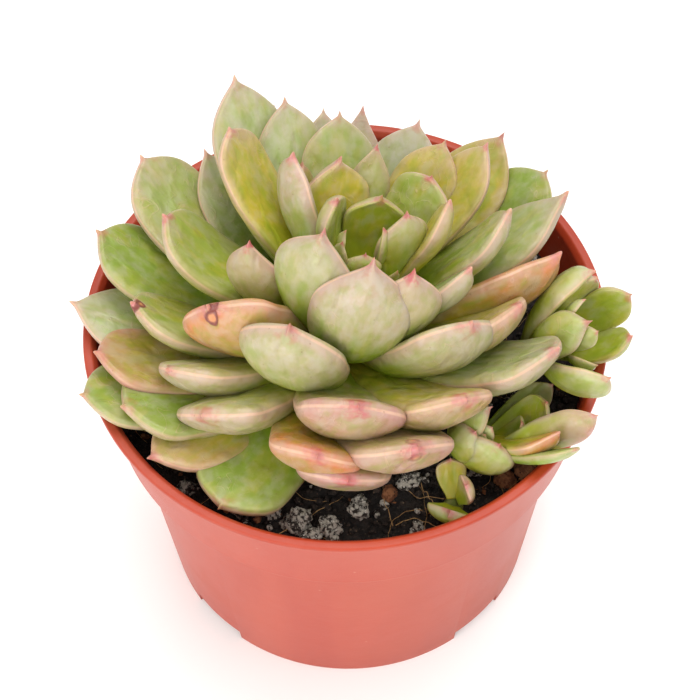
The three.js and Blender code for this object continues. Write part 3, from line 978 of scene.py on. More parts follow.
@dataclass
class Pot:
    """The thin moulded pot: rolled lip, collar, tapered wall and a foot ring with gaps."""

    height: float = 92
    rim_radius: float = 65
    lip_depth: float = 1.5
    lip_width: float = 2.1
    lip_rounding: float = 0.55
    collar_top: float = 63.3
    collar_foot: float = 60
    collar_height: float = 25.4
    step_drop: float = 0.9
    wall_top: float = 56.6
    foot_radius: float = 50
    wall: float = 1.6
    ring_height: float = 4.4
    ring_width: float = 2.6
    gaps: int = 4
    gap_angle: float = 19
    gap_bearing: float = -46.5
    gap_depth: float = 6
    holes: int = 8
    hole_radius: float = 3.6
    hole_circle: float = 34
    hole_sides: int = 32
    sides: int = 224
    crease: float = 35

    @property
    def collar_level(self) -> float:
        """Height of the collar's foot."""
        return self.height - self.collar_height

    def inside_radius(self, height: float) -> float:
        """Inside radius of the collar.

        Args:
            height: the height at which it is wanted.

        Returns:
            The radius.
        """
        lip_foot = self.height - self.lip_depth
        share = (height - self.collar_level) / (lip_foot - self.collar_level)
        return self.collar_foot + (self.collar_top - self.collar_foot) * share - self.wall

    def profile(self) -> list[tuple[float, float]]:
        """The wall's section, from the middle of the base's underside round to its top.

        Returns:
            (radius, height) points.
        """
        lip_foot = self.height - self.lip_depth
        step_foot = self.collar_level - self.step_drop
        inner_ring = self.foot_radius - self.ring_width
        floor = self.ring_height + self.wall
        return rounded(
            [
                (0, self.ring_height, 0),
                (inner_ring - 6, self.ring_height, 0.2),
                (inner_ring, self.ring_height, 0.8),
                (inner_ring, 0, 0.3),
                (self.foot_radius, 0, 0.5),
                (self.wall_top, step_foot, 0.5),
                (self.collar_foot, self.collar_level, 0.9),
                (self.collar_foot + 0.12, self.collar_level + 1.2, 0.3),
                (self.collar_top, lip_foot, 0.5),
                (self.rim_radius, lip_foot, 0.5),
                (self.rim_radius, self.height, self.lip_rounding),
                (self.rim_radius - self.lip_width, self.height, 0.5),
                (self.inside_radius(lip_foot), lip_foot, 0.6),
                (self.inside_radius(self.collar_level), self.collar_level, 0.9),
                (self.wall_top - self.wall, step_foot - self.wall, 0.9),
                (self.foot_radius - self.wall, floor, 1.5),
                (0, floor, 0),
            ]
        )

    def around(self, count: int) -> list[np.ndarray]:
        """The turns to evenly spaced bearings, the first at the first gap."""
        return [turn_about(UPWARD, self.gap_bearing + i * 360 / count) for i in range(count)]

    def cutter(self) -> bpy.types.Object:
        """The gaps in the foot ring and the drain holes as one body to cut with.

        Returns:
            The body.
        """
        skin = Skin()
        width = 2 * self.foot_radius * math.sin(math.radians(self.gap_angle / 2))
        square = ((-1, -1), (1, -1), (1, 1), (-1, 1))
        corners = np.array([[x, y, z] for z in (-1, 1) for x, y in square])
        box = corners * [self.gap_depth, width / 2, self.ring_height] + [self.foot_radius, 0, 0]
        sides = [[0, 3, 2, 1], [4, 5, 6, 7], [0, 1, 5, 4], [1, 2, 6, 5], [2, 3, 7, 6], [3, 0, 4, 7]]
        for turn in self.around(self.gaps):
            skin.append(box @ turn.T, sides)
        low, top = 0.5, self.ring_height + 2 * self.wall
        post = [(0, low), (self.hole_radius, low), (self.hole_radius, top), (0, top)]
        points, faces = lathe(post, self.hole_sides)
        for turn in self.around(self.holes):
            skin.append(points + turn @ [self.hole_circle, 0, 0], faces)
        return skin.make("pot_cutter", bpy.data.materials.new("cutter"))

    def build(self, effects: Effects) -> list[bpy.types.Object]:
        """Cuts and dresses the pot, in place of its CAD node.

        Args:
            effects: the shared shader groups.

        Returns:
            The pot, as the only piece.
        """
        skin = Skin()
        skin.append(*lathe(self.profile(), self.sides))
        body = skin.make("pot_body", PlasticFinish("pot_plastic").material(effects))
        cutter = self.cutter()
        cut = body.modifiers.new("cut", "BOOLEAN")
        cut.operation = "DIFFERENCE"
        cut.object = cutter
        graph = bpy.context.evaluated_depsgraph_get()
        mesh = bpy.data.meshes.new_from_object(body.evaluated_get(graph))
        body.modifiers.clear()
        body.data = mesh
        bpy.data.objects.remove(cutter)
        mesh.shade_smooth()
        mesh.set_sharp_from_angle(angle=math.radians(self.crease))
        seat(body, "pot")
        return [body]


# ------------------------------------------------------------------ soil


class Stream:
    """The repeatable stream of numbers between 0 and 1 that the solids' lumps are laid by."""

    factor = 16807
    limit = 2147483647

    def __init__(self, seed: int) -> None:
        """Starts the stream."""
        self.state = seed

    def next(self) -> float:
        """The next number."""
        self.state = (self.state * self.factor) % self.limit
        return self.state / self.limit

    def between(self, low: float, high: float) -> float:
        """The next number, between two others."""
        return low + (high - low) * self.next()


@dataclass(frozen=True)
class Lump:
    """A lump that lies in the soil's surface: millimetres and radians.

    Its breadth is a share of its length.
    """

    x: float
    y: float
    radius: float
    breadth: float
    tilt: float
    spin: float

    def turn(self) -> np.ndarray:
        """The turn that it lies in: tilted, and then spun."""
        spun = turn_about(UPWARD, math.degrees(self.spin))
        return spun @ turn_about((1, 0, 0), math.degrees(self.tilt))


@dataclass(frozen=True)
class Heap:
    """How the lumps of one piece are made, and how many of them are strewn over the soil.

    Levels are how finely each lump is divided, flat is its height as a share of its length, its
    pits are in radii, and its radius lies between the least and the most.
    """

    name: str
    finish: CrumbFinish
    levels: int
    flat: float = 0.7
    pits: float = 0.16
    count: int = 0
    least: float = 0.0
    most: float = 0.0

    def bulge(self, spot: np.ndarray, number: int) -> float:
        """How far out a spot on a lump's ball lies.

        Args:
            spot: the spot, on a ball of radius 1.
            number: the lump's number, which makes it differ from the others.

        Returns:
            The way from the middle, in radii.
        """
        wide = noise.noise(Vector(spot * 1.3) + Vector((number * 7.1, 0, 0)))
        close = noise.noise(Vector(spot * 3.7) + Vector((0, number * 5.3, 0)))
        fine = noise.noise(Vector(spot * 9.0) + Vector((0, 0, number * 3.9)))
        return 1 + 1.6 * self.pits * wide + self.pits * close + 0.5 * self.pits * fine


@dataclass
class Soil:
    """Dark peat with pumice, bark crumbs and thin roots, filling the pot.

    Margins are what lumps and roots keep off the wall, rates are how quickly the relief changes
    along a millimetre, and a lump's middle lies over the ground by a share of its radius.
    """

    pot: Pot
    level: float = 78
    mound: float = 0.8
    roughness: float = 0.9
    waves: tuple[tuple[float, ...], ...] = ((0.31, 1.7, 0.37, -0.6, 1), (0.83, 0.4, 0.71, 2.1, 0.6))
    clod_height: float = 0.8
    clod_rate: float = 0.35
    crumb_height: float = 0.35
    crumb_rate: float = 1.3
    gap: float = 0.12
    rings: int = 84
    sides: int = 300
    laid: tuple[tuple[float, float, float], ...] = (
        (-12.5, -50, 3.4), (-4.5, -51, 3), (-9, -53.5, 2.6), (2.5, -46.5, 3.2),
        (14.5, -38.5, 2.8), (16.5, -52, 2.2), (10, -42.5, 2.2), (43, -36.5, 3),
        (38, -39, 2.8), (-18.5, -47, 2), (-26.5, -45, 2.4), (-39.5, -39.5, 2.8),
        (-44, 35.5, 2.4),
    )  # fmt: skip
    laid_clods: tuple[int, ...] = (6, 7, 8)
    lumps: int = 24
    lump_radii: tuple[float, float] = (1.8, 3.6)
    lump_margin: float = 2.5
    lump_seed: int = 7
    lump_rise: float = 0.15
    strewn_margin: float = 0.6
    stone_heap: Heap = Heap("soil_pumice_lumps", PUMICE, 4, pits=0.3)
    clod_heap: Heap = Heap("soil_clods", BARK, 4)
    strewn: tuple[Heap, ...] = (
        Heap("soil_pumice_grit", PUMICE, 3, count=130, least=0.5, most=1.5),
        Heap("soil_crumbs", CRUMB, 2, flat=0.8, pits=0.3, count=2600, least=0.3, most=1.15),
        Heap("soil_bark", BARK, 2, flat=0.45, pits=0.25, count=110, least=0.5, most=1.4),
    )
    root_count: int = 110
    root_steps: int = 26
    root_sides: int = 5
    root_radii: tuple[float, float] = (0.06, 0.12)
    root_strides: tuple[float, float] = (0.35, 0.9)
    root_arches: tuple[float, float] = (0.3, 2.2)
    root_bend: float = 0.12
    root_wander: float = 0.22
    root_lift: float = 0.5
    root_margin: float = 3
    seed: int = 21

    def smooth_height(self, x: float, y: float) -> float:
        """Height of the soil over a point, without its clods.

        Args:
            x: the point's way to the right of the axis.
            y: its way behind the axis.

        Returns:
            The height.
        """
        share = math.hypot(x, y) / self.pot.inside_radius(self.level)
        sway = sum(
            part * math.sin(kx * x + px) * math.cos(ky * y + py)
            for kx, px, ky, py, part in self.waves
        )
        flat = max(0.0, 1 - share**8)
        return self.level + self.mound * (1 - share * share) + self.roughness * sway * flat

    def height(self, x: float, y: float) -> float:
        """Height of the soil over a point.

        Args:
            x: the point's way to the right of the axis.
            y: its way behind the axis.

        Returns:
            The height.
        """
        clods = noise.turbulence(Vector((x * self.clod_rate, y * self.clod_rate, 0)), 4, False) - 0.6
        crumbs = noise.noise(Vector((x * self.crumb_rate, y * self.crumb_rate, 3)))
        rough = self.smooth_height(x, y) + self.clod_height * clods
        return rough + self.crumb_height * crumbs

    def ground(self, effects: Effects) -> bpy.types.Object:
        """Makes the body of the soil with its rough top.

        Args:
            effects: the shared shader groups.

        Returns:
            The piece.
        """
        pot = self.pot
        edge = pot.inside_radius(self.level) - self.gap
        bottom = pot.ring_height + pot.wall + self.gap
        profile = [
            (0, bottom),
            (pot.foot_radius - pot.wall - 2, bottom),
            (pot.wall_top - pot.wall - self.gap - 0.3, pot.collar_level - pot.step_drop - pot.wall),
            (pot.inside_radius(pot.collar_level) - self.gap - 0.3, pot.collar_level + 0.5),
        ]
        profile += [(edge * (1 - i / self.rings), self.level) for i in range(self.rings)]
        profile.append((0, self.level))
        points, faces = lathe(profile, self.sides)
        for point in points:
            if point[2] >= self.level:
                point[2] = self.height(point[0], point[1])
        skin = Skin()
        skin.append(points, faces)
        return skin.make("soil_ground", PEAT.material(effects))

    def solid_lumps(self) -> list[Lump]:
        """The lumps that the CAD soil holds too.

        Returns:
            The lumps, the laid ones first.
        """
        stream = Stream(self.lump_seed)
        spots = list(self.laid)
        for _ in range(self.lumps):
            radius = min(stream.between(*self.lump_radii), stream.between(*self.lump_radii))
            bearing = stream.between(0, 2 * math.pi)
            reach = self.pot.inside_radius(self.level) - radius - self.lump_margin
            distance = reach * math.sqrt(stream.between(0.25, 1))
            spots.append((distance * math.cos(bearing), distance * math.sin(bearing), radius))
        lumps = []
        for spot in spots:
            breadth = stream.between(0.75, 1.05)
            tilt = stream.between(0, 0.8)
            lumps.append(Lump(*spot, breadth, tilt, stream.between(0, 2 * math.pi)))
        return lumps

    def scattered(self, heap: Heap, chance: random.Random) -> list[Lump]:
        """Lumps strewn evenly over the soil.

        Args:
            heap: how many there are, and between which radii.
            chance: where the numbers come from.

        Returns:
            The lumps.
        """
        found = []
        for _ in range(heap.count):
            radius = heap.least + (heap.most - heap.least) * chance.random() ** 2
            bearing = chance.uniform(0, 2 * math.pi)
            reach = self.pot.inside_radius(self.level) - radius - self.strewn_margin
            distance = reach * math.sqrt(chance.random())
            x, y = distance * math.cos(bearing), distance * math.sin(bearing)
            shape = chance.uniform(0.6, 1.0), chance.uniform(0, 1.2), chance.uniform(0, 6.3)
            found.append(Lump(x, y, radius, *shape))
        return found

    def pile(self, heap: Heap, lumps: Sequence[Lump], effects: Effects) -> bpy.types.Object:
        """Makes many lumps as one piece.

        Args:
            heap: how they are made.
            lumps: where they lie.
            effects: the shared shader groups.

        Returns:
            The piece.
        """
        sphere, faces = ball(heap.levels)
        skin = Skin()
        for k, lump in enumerate(lumps):
            bulges = np.array([heap.bulge(spot, k) for spot in sphere])
            shape = sphere * bulges[:, None] * [1, lump.breadth, heap.flat] * lump.radius
            rest = self.smooth_height(lump.x, lump.y) + self.lump_rise * lump.radius
            skin.append(shape @ lump.turn().T + [lump.x, lump.y, rest], faces)
        return skin.make(heap.name, heap.finish.material(effects))

    def root_line(self, chance: random.Random) -> np.ndarray:
        """The line of a root that wanders over the soil, arches and turns back at the wall.

        Args:
            chance: where the numbers come from.

        Returns:
            Points in millimetres.
        """
        reach = self.pot.inside_radius(self.level) - self.root_margin
        bearing = chance.uniform(0, 2 * math.pi)
        distance = reach * math.sqrt(chance.uniform(0.2, 1))
        spot = np.array([distance * math.cos(bearing), distance * math.sin(bearing)])
        heading = chance.uniform(0, 2 * math.pi)
        bend = chance.uniform(-self.root_bend, self.root_bend)
        stride = chance.uniform(*self.root_strides)
        arch = chance.uniform(*self.root_arches)
        line = []
        for k in range(self.root_steps):
            over = math.sin(math.pi * k / (self.root_steps - 1))
            lift = self.root_lift + arch * over * (0.6 + 0.4 * math.sin(k))
            line.append([spot[0], spot[1], self.smooth_height(*spot) + lift])
            heading += bend + chance.uniform(-self.root_wander, self.root_wander)
            spot = spot + stride * np.array([math.cos(heading), math.sin(heading)])
            if np.hypot(*spot) > reach:
                heading += 0.7
                spot *= reach / np.hypot(*spot)
        return np.array(line)

    def roots(self, effects: Effects, chance: random.Random) -> bpy.types.Object:
        """Makes the thin dry roots on the surface.

        Args:
            effects: the shared shader groups.
            chance: where the numbers come from.

        Returns:
            The piece.
        """
        skin = Skin()
        for _ in range(self.root_count):
            radius = chance.uniform(*self.root_radii)
            skin.append(*tube(self.root_line(chance), radius, self.root_sides))
        return skin.make("soil_roots", DRY_ROOT.material(effects))

    def build(self, effects: Effects) -> list[bpy.types.Object]:
        """Makes the soil's pieces, in place of its CAD node.

        Args:
            effects: the shared shader groups.

        Returns:
            The pieces.
        """
        chance = random.Random(self.seed)
        lumps = self.solid_lumps()
        clods = [lumps[i] for i in self.laid_clods]
        stones = [lump for lump in lumps if lump not in clods]
        pieces = [
            self.ground(effects),
            self.pile(self.stone_heap, stones, effects),
            self.pile(self.clod_heap, clods, effects),
        ]
        pieces += [self.pile(heap, self.scattered(heap, chance), effects) for heap in self.strewn]
        pieces.append(self.roots(effects, chance))
        for piece in pieces:
            seat(piece, "soil")
        return pieces


# ------------------------------------------------------------------ leaves


class Bend(Enum):
    """Where the bend of a leaf comes: towards its tip or towards its root."""

    TIP = 0.45
    ROOT = -0.6


class Tip(Enum):
    """How a leaf ends: how late it narrows, how far it is drawn out, and how long its point is."""

    DRAWN = (2.6, 1.6, 1.0)
    MEDIUM = (3.2, 1.15, 1.0)
    BLUNT = (5.0, 0.95, 0.8)
    ROUND = (6.0, 0.8, 0.35)


CUPPED = 0.1  # dip of a cupped leaf's upper face, as a share of its width


class Tint(Enum):
    """How a leaf is coloured: shares of fresh green, yellow, flush, bloom and red point."""

    GREY = (0.0, 0.05, 0.05, 0.6, 0.45)
    SAGE = (0.25, 0.15, 0.03, 0.3, 0.45)
    GREEN = (0.55, 0.3, 0.02, 0.12, 0.9)
    DEEP = (0.9, 0.0, 0.08, 0.2, 0.5)
    BRIGHT = (0.85, 0.4, 0.0, 0.0, 0.9)
    YELLOW = (0.3, 0.85, 0.12, 0.15, 0.8)
    PALE = (0.2, 0.15, 0.06, 0.6, 0.8)
    LAVENDER = (0.0, 0.0, 0.18, 0.95, 0.6)
    MAUVE = (0.0, 0.05, 0.6, 0.9, 0.8)
    WARM = (0.0, 0.6, 0.4, 0.2, 0.8)
    CREAM = (0.0, 0.35, 0.12, 0.5, 0.6)
    ORANGE = (0.0, 0.8, 1.0, 0.05, 0.8)
    RUST = (0.75, 0.4, 0.8, 0.0, 0.6)
    PINK = (0.0, 0.25, 0.9, 0.15, 0.9)
    ROSE = (0.0, 0.2, 0.95, 0.1, 1.0)
    TIPPED = (0.1, 0.2, 0.4, 0.35, 2.2)


@dataclass(frozen=True)
class Leaf:
    """A leaf in its head's frame, in millimetres and degrees.

    The tip lies at a bearing, a reach from the axis and a height. The root lies on the stem, at
    the height that root gives. Curl is how far the leaf bends from root to tip, and roll how far
    it turns about its length. Cup is the dip of its upper face, below zero for a crowned one, and
    sway is how far its tip lies to one side, both as shares of the width. Scar is the strength of
    a healed scar.
    """

    bearing: float
    reach: float
    height: float
    root: float
    width: float
    curl: float
    roll: float
    tint: Tint
    tip: Tip = Tip.MEDIUM
    bend: Bend = Bend.TIP
    cup: float = 0.0
    sway: float = 0.0
    scar: float = 0.0


@dataclass(frozen=True)
class Rib:
    """The bent midrib of a leaf in its head's frame."""

    share: np.ndarray
    points: np.ndarray
    along: np.ndarray
    across: np.ndarray
    face: np.ndarray
    length: float


@dataclass(frozen=True)
class LeafForm:
    """The shape that all leaves share, as shares of their length and width.

    Rates are how quickly the small unevenness changes along a millimetre or a length, and each
    leaf's patches of colour lie a shift in millimetres away from the next leaf's.
    """

    shoulder: float = 0.64
    neck_width: float = 0.38
    neck_flare: float = 1.4
    point_length: float = 0.075
    point_slope: float = 0.34
    thickness: float = 0.27
    neck_thickness: float = 0.6
    thickest: float = 0.6
    tip_thinning: float = 1.9
    tip_rounding: float = 0.8
    tip_closing: float = 0.14
    belly: float = 0.6
    rise: float = 0.04
    edge: float = 0.036
    below_rounding: float = 0.6
    broad: float = 24
    broad_power: float = 0.7
    rolled: float = 0.5
    sway_power: int = 6
    waver: float = 0.035
    waver_rate: float = 2.6
    unevenness: float = 0.02
    uneven_rates: tuple[float, float, float] = (0.16, 0.11, 3.3)
    even_tip: float = 0.2
    own_shift: float = 9.7
    arc_steps: int = 60
    stations: int = 48
    crowding: float = 1.6
    top_points: int = 23
    below_points: int = 17

    def scale(self, leaf: Leaf) -> float:
        """What ways on a leaf are multiplied by to compare them with those on a broad one."""
        return (self.broad / leaf.width) ** self.broad_power

    def width_share(self, u: np.ndarray, tip: Tip, end: float) -> np.ndarray:
        """Half-width of the blade at shares of the length, as a share of the widest.

        Args:
            u: the shares of the length.
            tip: how late the blade narrows.
            end: the share where the blade passes into the point.

        Returns:
            The half-width at each share, without the point.
        """
        low = np.clip(u / self.shoulder, 0, 1)
        flare = np.sin(low * math.pi / 2) ** self.neck_flare
        s = np.clip((u - self.shoulder) / (end - self.shoulder), 0, 1)
        late, draw, _ = tip.value
        narrow = (1 - s**late) ** draw
        return np.where(u < self.shoulder, self.neck_width + (1 - self.neck_width) * flare, narrow)

    def thickness_share(self, u: np.ndarray) -> np.ndarray:
        """Thickness at shares of the length, as a share of the thickest.

        Args:
            u: the shares of the length.

        Returns:
            The thickness at each share.
        """
        low = np.clip(u / self.thickest, 0, 1)
        swell = self.neck_thickness + (1 - self.neck_thickness) * np.sin(low * math.pi / 2)
        s = np.clip((u - self.thickest) / (1 - self.thickest), 0, 1)
        closing = np.clip((1 - u) / self.tip_closing, 0, 1) ** 0.5
        thin = (1 - s**self.tip_thinning) ** self.tip_rounding * closing
        return np.where(u < self.thickest, swell, thin)

    def midrib(self, leaf: Leaf, root_reach: float) -> Rib:
        """The bent midrib, its last point at the tip.

        Args:
            leaf: the leaf.
            root_reach: how far its root lies from the head's axis.

        Returns:
            The midrib with the directions that the leaf's section is laid in.
        """
        bend, curl = leaf.bend.value, math.radians(leaf.curl)
        fine = np.linspace(0, 1, self.arc_steps + 1)
        middle = (fine[1:] + fine[:-1]) / 2
        slope = curl * ((1 - bend) * middle + bend * middle**2)
        out = np.concatenate([[0], np.cumsum(np.cos(slope))]) / self.arc_steps
        up = np.concatenate([[0], np.cumsum(np.sin(slope))]) / self.arc_steps
        rise, run = leaf.height - leaf.root, leaf.reach - root_reach
        length = math.hypot(run, rise) / math.hypot(out[-1], up[-1])
        turn = math.atan2(rise, run) - math.atan2(up[-1], out[-1])
        u = 1 - (1 - np.linspace(0, 1, self.stations + 1)) ** self.crowding
        x, z = np.interp(u, fine, out) * length, np.interp(u, fine, up) * length
        reach = root_reach + x * math.cos(turn) - z * math.sin(turn)
        height = leaf.root + x * math.sin(turn) + z * math.cos(turn)
        angle = turn + curl * ((1 - bend) * u + bend * u * u)

        bearing = math.radians(leaf.bearing)
        outward = np.array([math.cos(bearing), math.sin(bearing), 0])
        sideways = np.array([-outward[1], outward[0], 0])
        upward = np.array(UPWARD)
        normal = -np.sin(angle)[:, None] * outward + np.cos(angle)[:, None] * upward
        roll = math.radians(leaf.roll) * np.clip(u / self.rolled, 0, 1)
        across = np.cos(roll)[:, None] * sideways + np.sin(roll)[:, None] * normal
        face = np.cos(roll)[:, None] * normal - np.sin(roll)[:, None] * sideways
        points = reach[:, None] * outward + height[:, None] * upward
        points += (leaf.sway * leaf.width * u**self.sway_power)[:, None] * across
        return Rib(u, points, u * length, across, face, length)

    def section(self, leaf: Leaf, rib: Rib, seed: int) -> tuple[np.ndarray, ...]:
        """The leaf's section at each point of its midrib but the last.

        Args:
            leaf: the leaf.
            rib: its midrib.
            seed: what the waver of its sides is drawn from.

        Returns:
            A row for each section: the way across, the height over the margins and the signed
            way from the nearer margin, above zero on the upper face and as on a broad leaf, all
            in millimetres.
        """
        u = rib.share[:-1]
        v_top = np.sin(np.linspace(-1, 1, self.top_points) * math.pi / 2)
        v_below = np.sin(np.linspace(1, -1, self.below_points + 2)[1:-1] * math.pi / 2)
        v = np.concatenate([v_top, v_below])
        to_tip = (1 - u) * rib.length
        spike = leaf.tip.value[2] * self.point_length * leaf.width
        point = self.point_slope * np.minimum(to_tip, 3 * spike)
        blade = self.width_share(u, leaf.tip, 1 - spike / rib.length)
        waver = np.array([noise.noise(Vector((s * self.waver_rate, seed, 0.5))) for s in u])
        blade = leaf.width / 2 * blade * (1 + self.waver * waver)
        half = np.hypot(blade, point)[:, None]
        top = self.rise * np.sqrt(1 - v_top**4) - leaf.cup * (1 - v_top**2)
        deep = np.hypot(self.thickness * leaf.width * self.thickness_share(u), point)[:, None]
        lift = np.concatenate([2 * blade[:, None] * top, -deep * (1 - v_below**2) ** self.belly], 1)
        edge = self.edge * leaf.width
        inset = np.clip(1 - half * (1 - np.abs(v)) / edge, 0, 1)
        rounding = edge * np.sqrt(1 - inset**2)
        above = np.arange(len(v)) < self.top_points
        lift += np.where(above, rounding, -self.below_rounding * rounding)
        rim = np.hypot(half * (1 - np.abs(v)), lift) * self.scale(leaf)
        rim[:, self.top_points :] *= -1
        return half * v, lift, rim

    def shell(
        self, leaf: Leaf, root_reach: float, seed: int
    ) -> tuple[np.ndarray, list[list[int]], dict[str, np.ndarray]]:
        """The skin of a leaf in its head's frame.

        Args:
            leaf: the leaf.
            root_reach: how far its root lies from the head's axis.
            seed: what its small unevenness and colour patches are drawn from.

        Returns:
            Points, faces and the values of the points by name.
        """
        rib = self.midrib(leaf, root_reach)
        side_way, lift, rim = self.section(leaf, rib, seed)
        count, ring = side_way.shape
        along = np.repeat(rib.along[:-1, None], ring, 1)
        wide, long, own = self.uneven_rates
        swell = np.array(
            [
                [noise.noise(Vector((s * wide, a * long, seed * own))) for s, a in zip(*rows)]
                for rows in zip(side_way, along)
            ]
        )
        fading = np.clip((1 - rib.share[:-1]) / self.even_tip, 0, 1)[:, None]
        lift = lift + self.unevenness * leaf.width * swell * fading
        points = (
            rib.points[:-1, None]
            + side_way[:, :, None] * rib.across[:-1, None]
            + lift[:, :, None] * rib.face[:-1, None]
        )
        points = np.concatenate([points.reshape(-1, 3), rib.points[-1:]])

        faces = [quad[::-1] for quad in ring_faces(count, ring)]
        last, tip = (count - 1) * ring, count * ring
        faces += [[last + i, tip, last + (i + 1) % ring] for i in range(ring)]
        faces.append(list(range(ring)))

        shift = seed * self.own_shift
        places = np.stack([side_way, along, lift + shift], 2).reshape(-1, 3)
        *tint, blush = leaf.tint.value
        to_tip = np.linalg.norm(points - points[-1], axis=1) * self.scale(leaf)
        values = {
            "to_tip": to_tip,
            "along": np.append(along.ravel() / rib.length, 1.0),
            "rim": np.append(rim.ravel(), 0.0),
            "leaf_place": np.concatenate([places, [[0, rib.length, shift]]]),
            "tint": np.tile(tint, (tip + 1, 1)),
            "blush": np.full(tip + 1, blush),
            "scar": np.full(tip + 1, leaf.scar),
        }
        return points, faces, values


# ------------------------------------------------------------------ heads


@dataclass(frozen=True)
class Stem:
    """The stem of a head: millimetres and degrees."""

    base: tuple[float, float, float]
    lean: float
    bearing: float
    radius: float
    top: float
    sink: float = 6
    soil: float = 78

    def frame(self) -> tuple[np.ndarray, np.ndarray]:
        """Where the head's own frame lies in the pot's.

        Returns:
            The turn and the shift from one to the other.
        """
        bearing = math.radians(self.bearing)
        axis = (-math.sin(bearing), math.cos(bearing), 0)
        return turn_about(axis, self.lean), np.array(self.base)

    def foot(self) -> float:
        """Height of its foot in its own frame."""
        return -(self.base[2] - self.soil + self.sink) / math.cos(math.radians(self.lean))


@dataclass
class Head:
    """A rosette: its stem and its leaves, in place of one CAD node."""

    node: str
    stem: Stem
    leaves: Sequence[Leaf]
    finish: LeafFinish
    seed: int
    form: LeafForm = LeafForm()
    root_depth: float = 0.45
    taper: float = 0.7
    taper_start: float = 0.5
    scar_depth: float = 0.02
    scar_rate: float = 2.4
    stem_rings: int = 40
    stem_sides: int = 48

    def place(self, points: np.ndarray) -> np.ndarray:
        """Points of the head's frame in the pot's."""
        turn, shift = self.stem.frame()
        return points @ turn.T + shift

    def build_leaves(self, effects: Effects) -> bpy.types.Object:
        """Makes all the leaves as one piece.

        Args:
            effects: the shared shader groups.

        Returns:
            The piece.
        """
        skin = Skin()
        reach = self.root_depth * self.stem.radius
        for k, leaf in enumerate(self.leaves):
            points, faces, values = self.form.shell(leaf, reach, self.seed * 100 + k)
            skin.append(self.place(points), faces, **values)
        return skin.make(f"{self.node}_leaves", self.finish.material(effects))

    def build_stem(self, effects: Effects) -> bpy.types.Object:
        """Makes the stem with the rings that fallen leaves left.

        Args:
            effects: the shared shader groups.

        Returns:
            The piece.
        """
        stem, foot = self.stem, self.stem.foot()
        start = self.taper_start * stem.top
        profile = [(0.0, foot)]
        for height in np.linspace(foot, stem.top, self.stem_rings):
            late = max(0.0, (height - start) / (stem.top - start))
            radius = stem.radius * (1 - (1 - self.taper) * late)
            ripple = 1 + self.scar_depth * math.sin(height * self.scar_rate)
            profile.append((radius * ripple, float(height)))
        profile.append((0.0, stem.top))
        points, faces = lathe(profile, self.stem_sides)
        skin = Skin()
        skin.append(self.place(points), faces)
        name = f"{self.node}_stem"
        finish = CrumbFinish(name, "77843a", "858c4a", "8f7d4c", 0.3, 0.2, speck_share=0.1)
        return skin.make(name, finish.material(effects))

    def build(self, effects: Effects) -> list[bpy.types.Object]:
        """Makes the head's pieces, in place of its CAD node.

        Args:
            effects: the shared shader groups.

        Returns:
            The pieces.
        """
        pieces = [self.build_leaves(effects), self.build_stem(effects)]
        for piece in pieces:
            seat(piece, self.node)
        return pieces


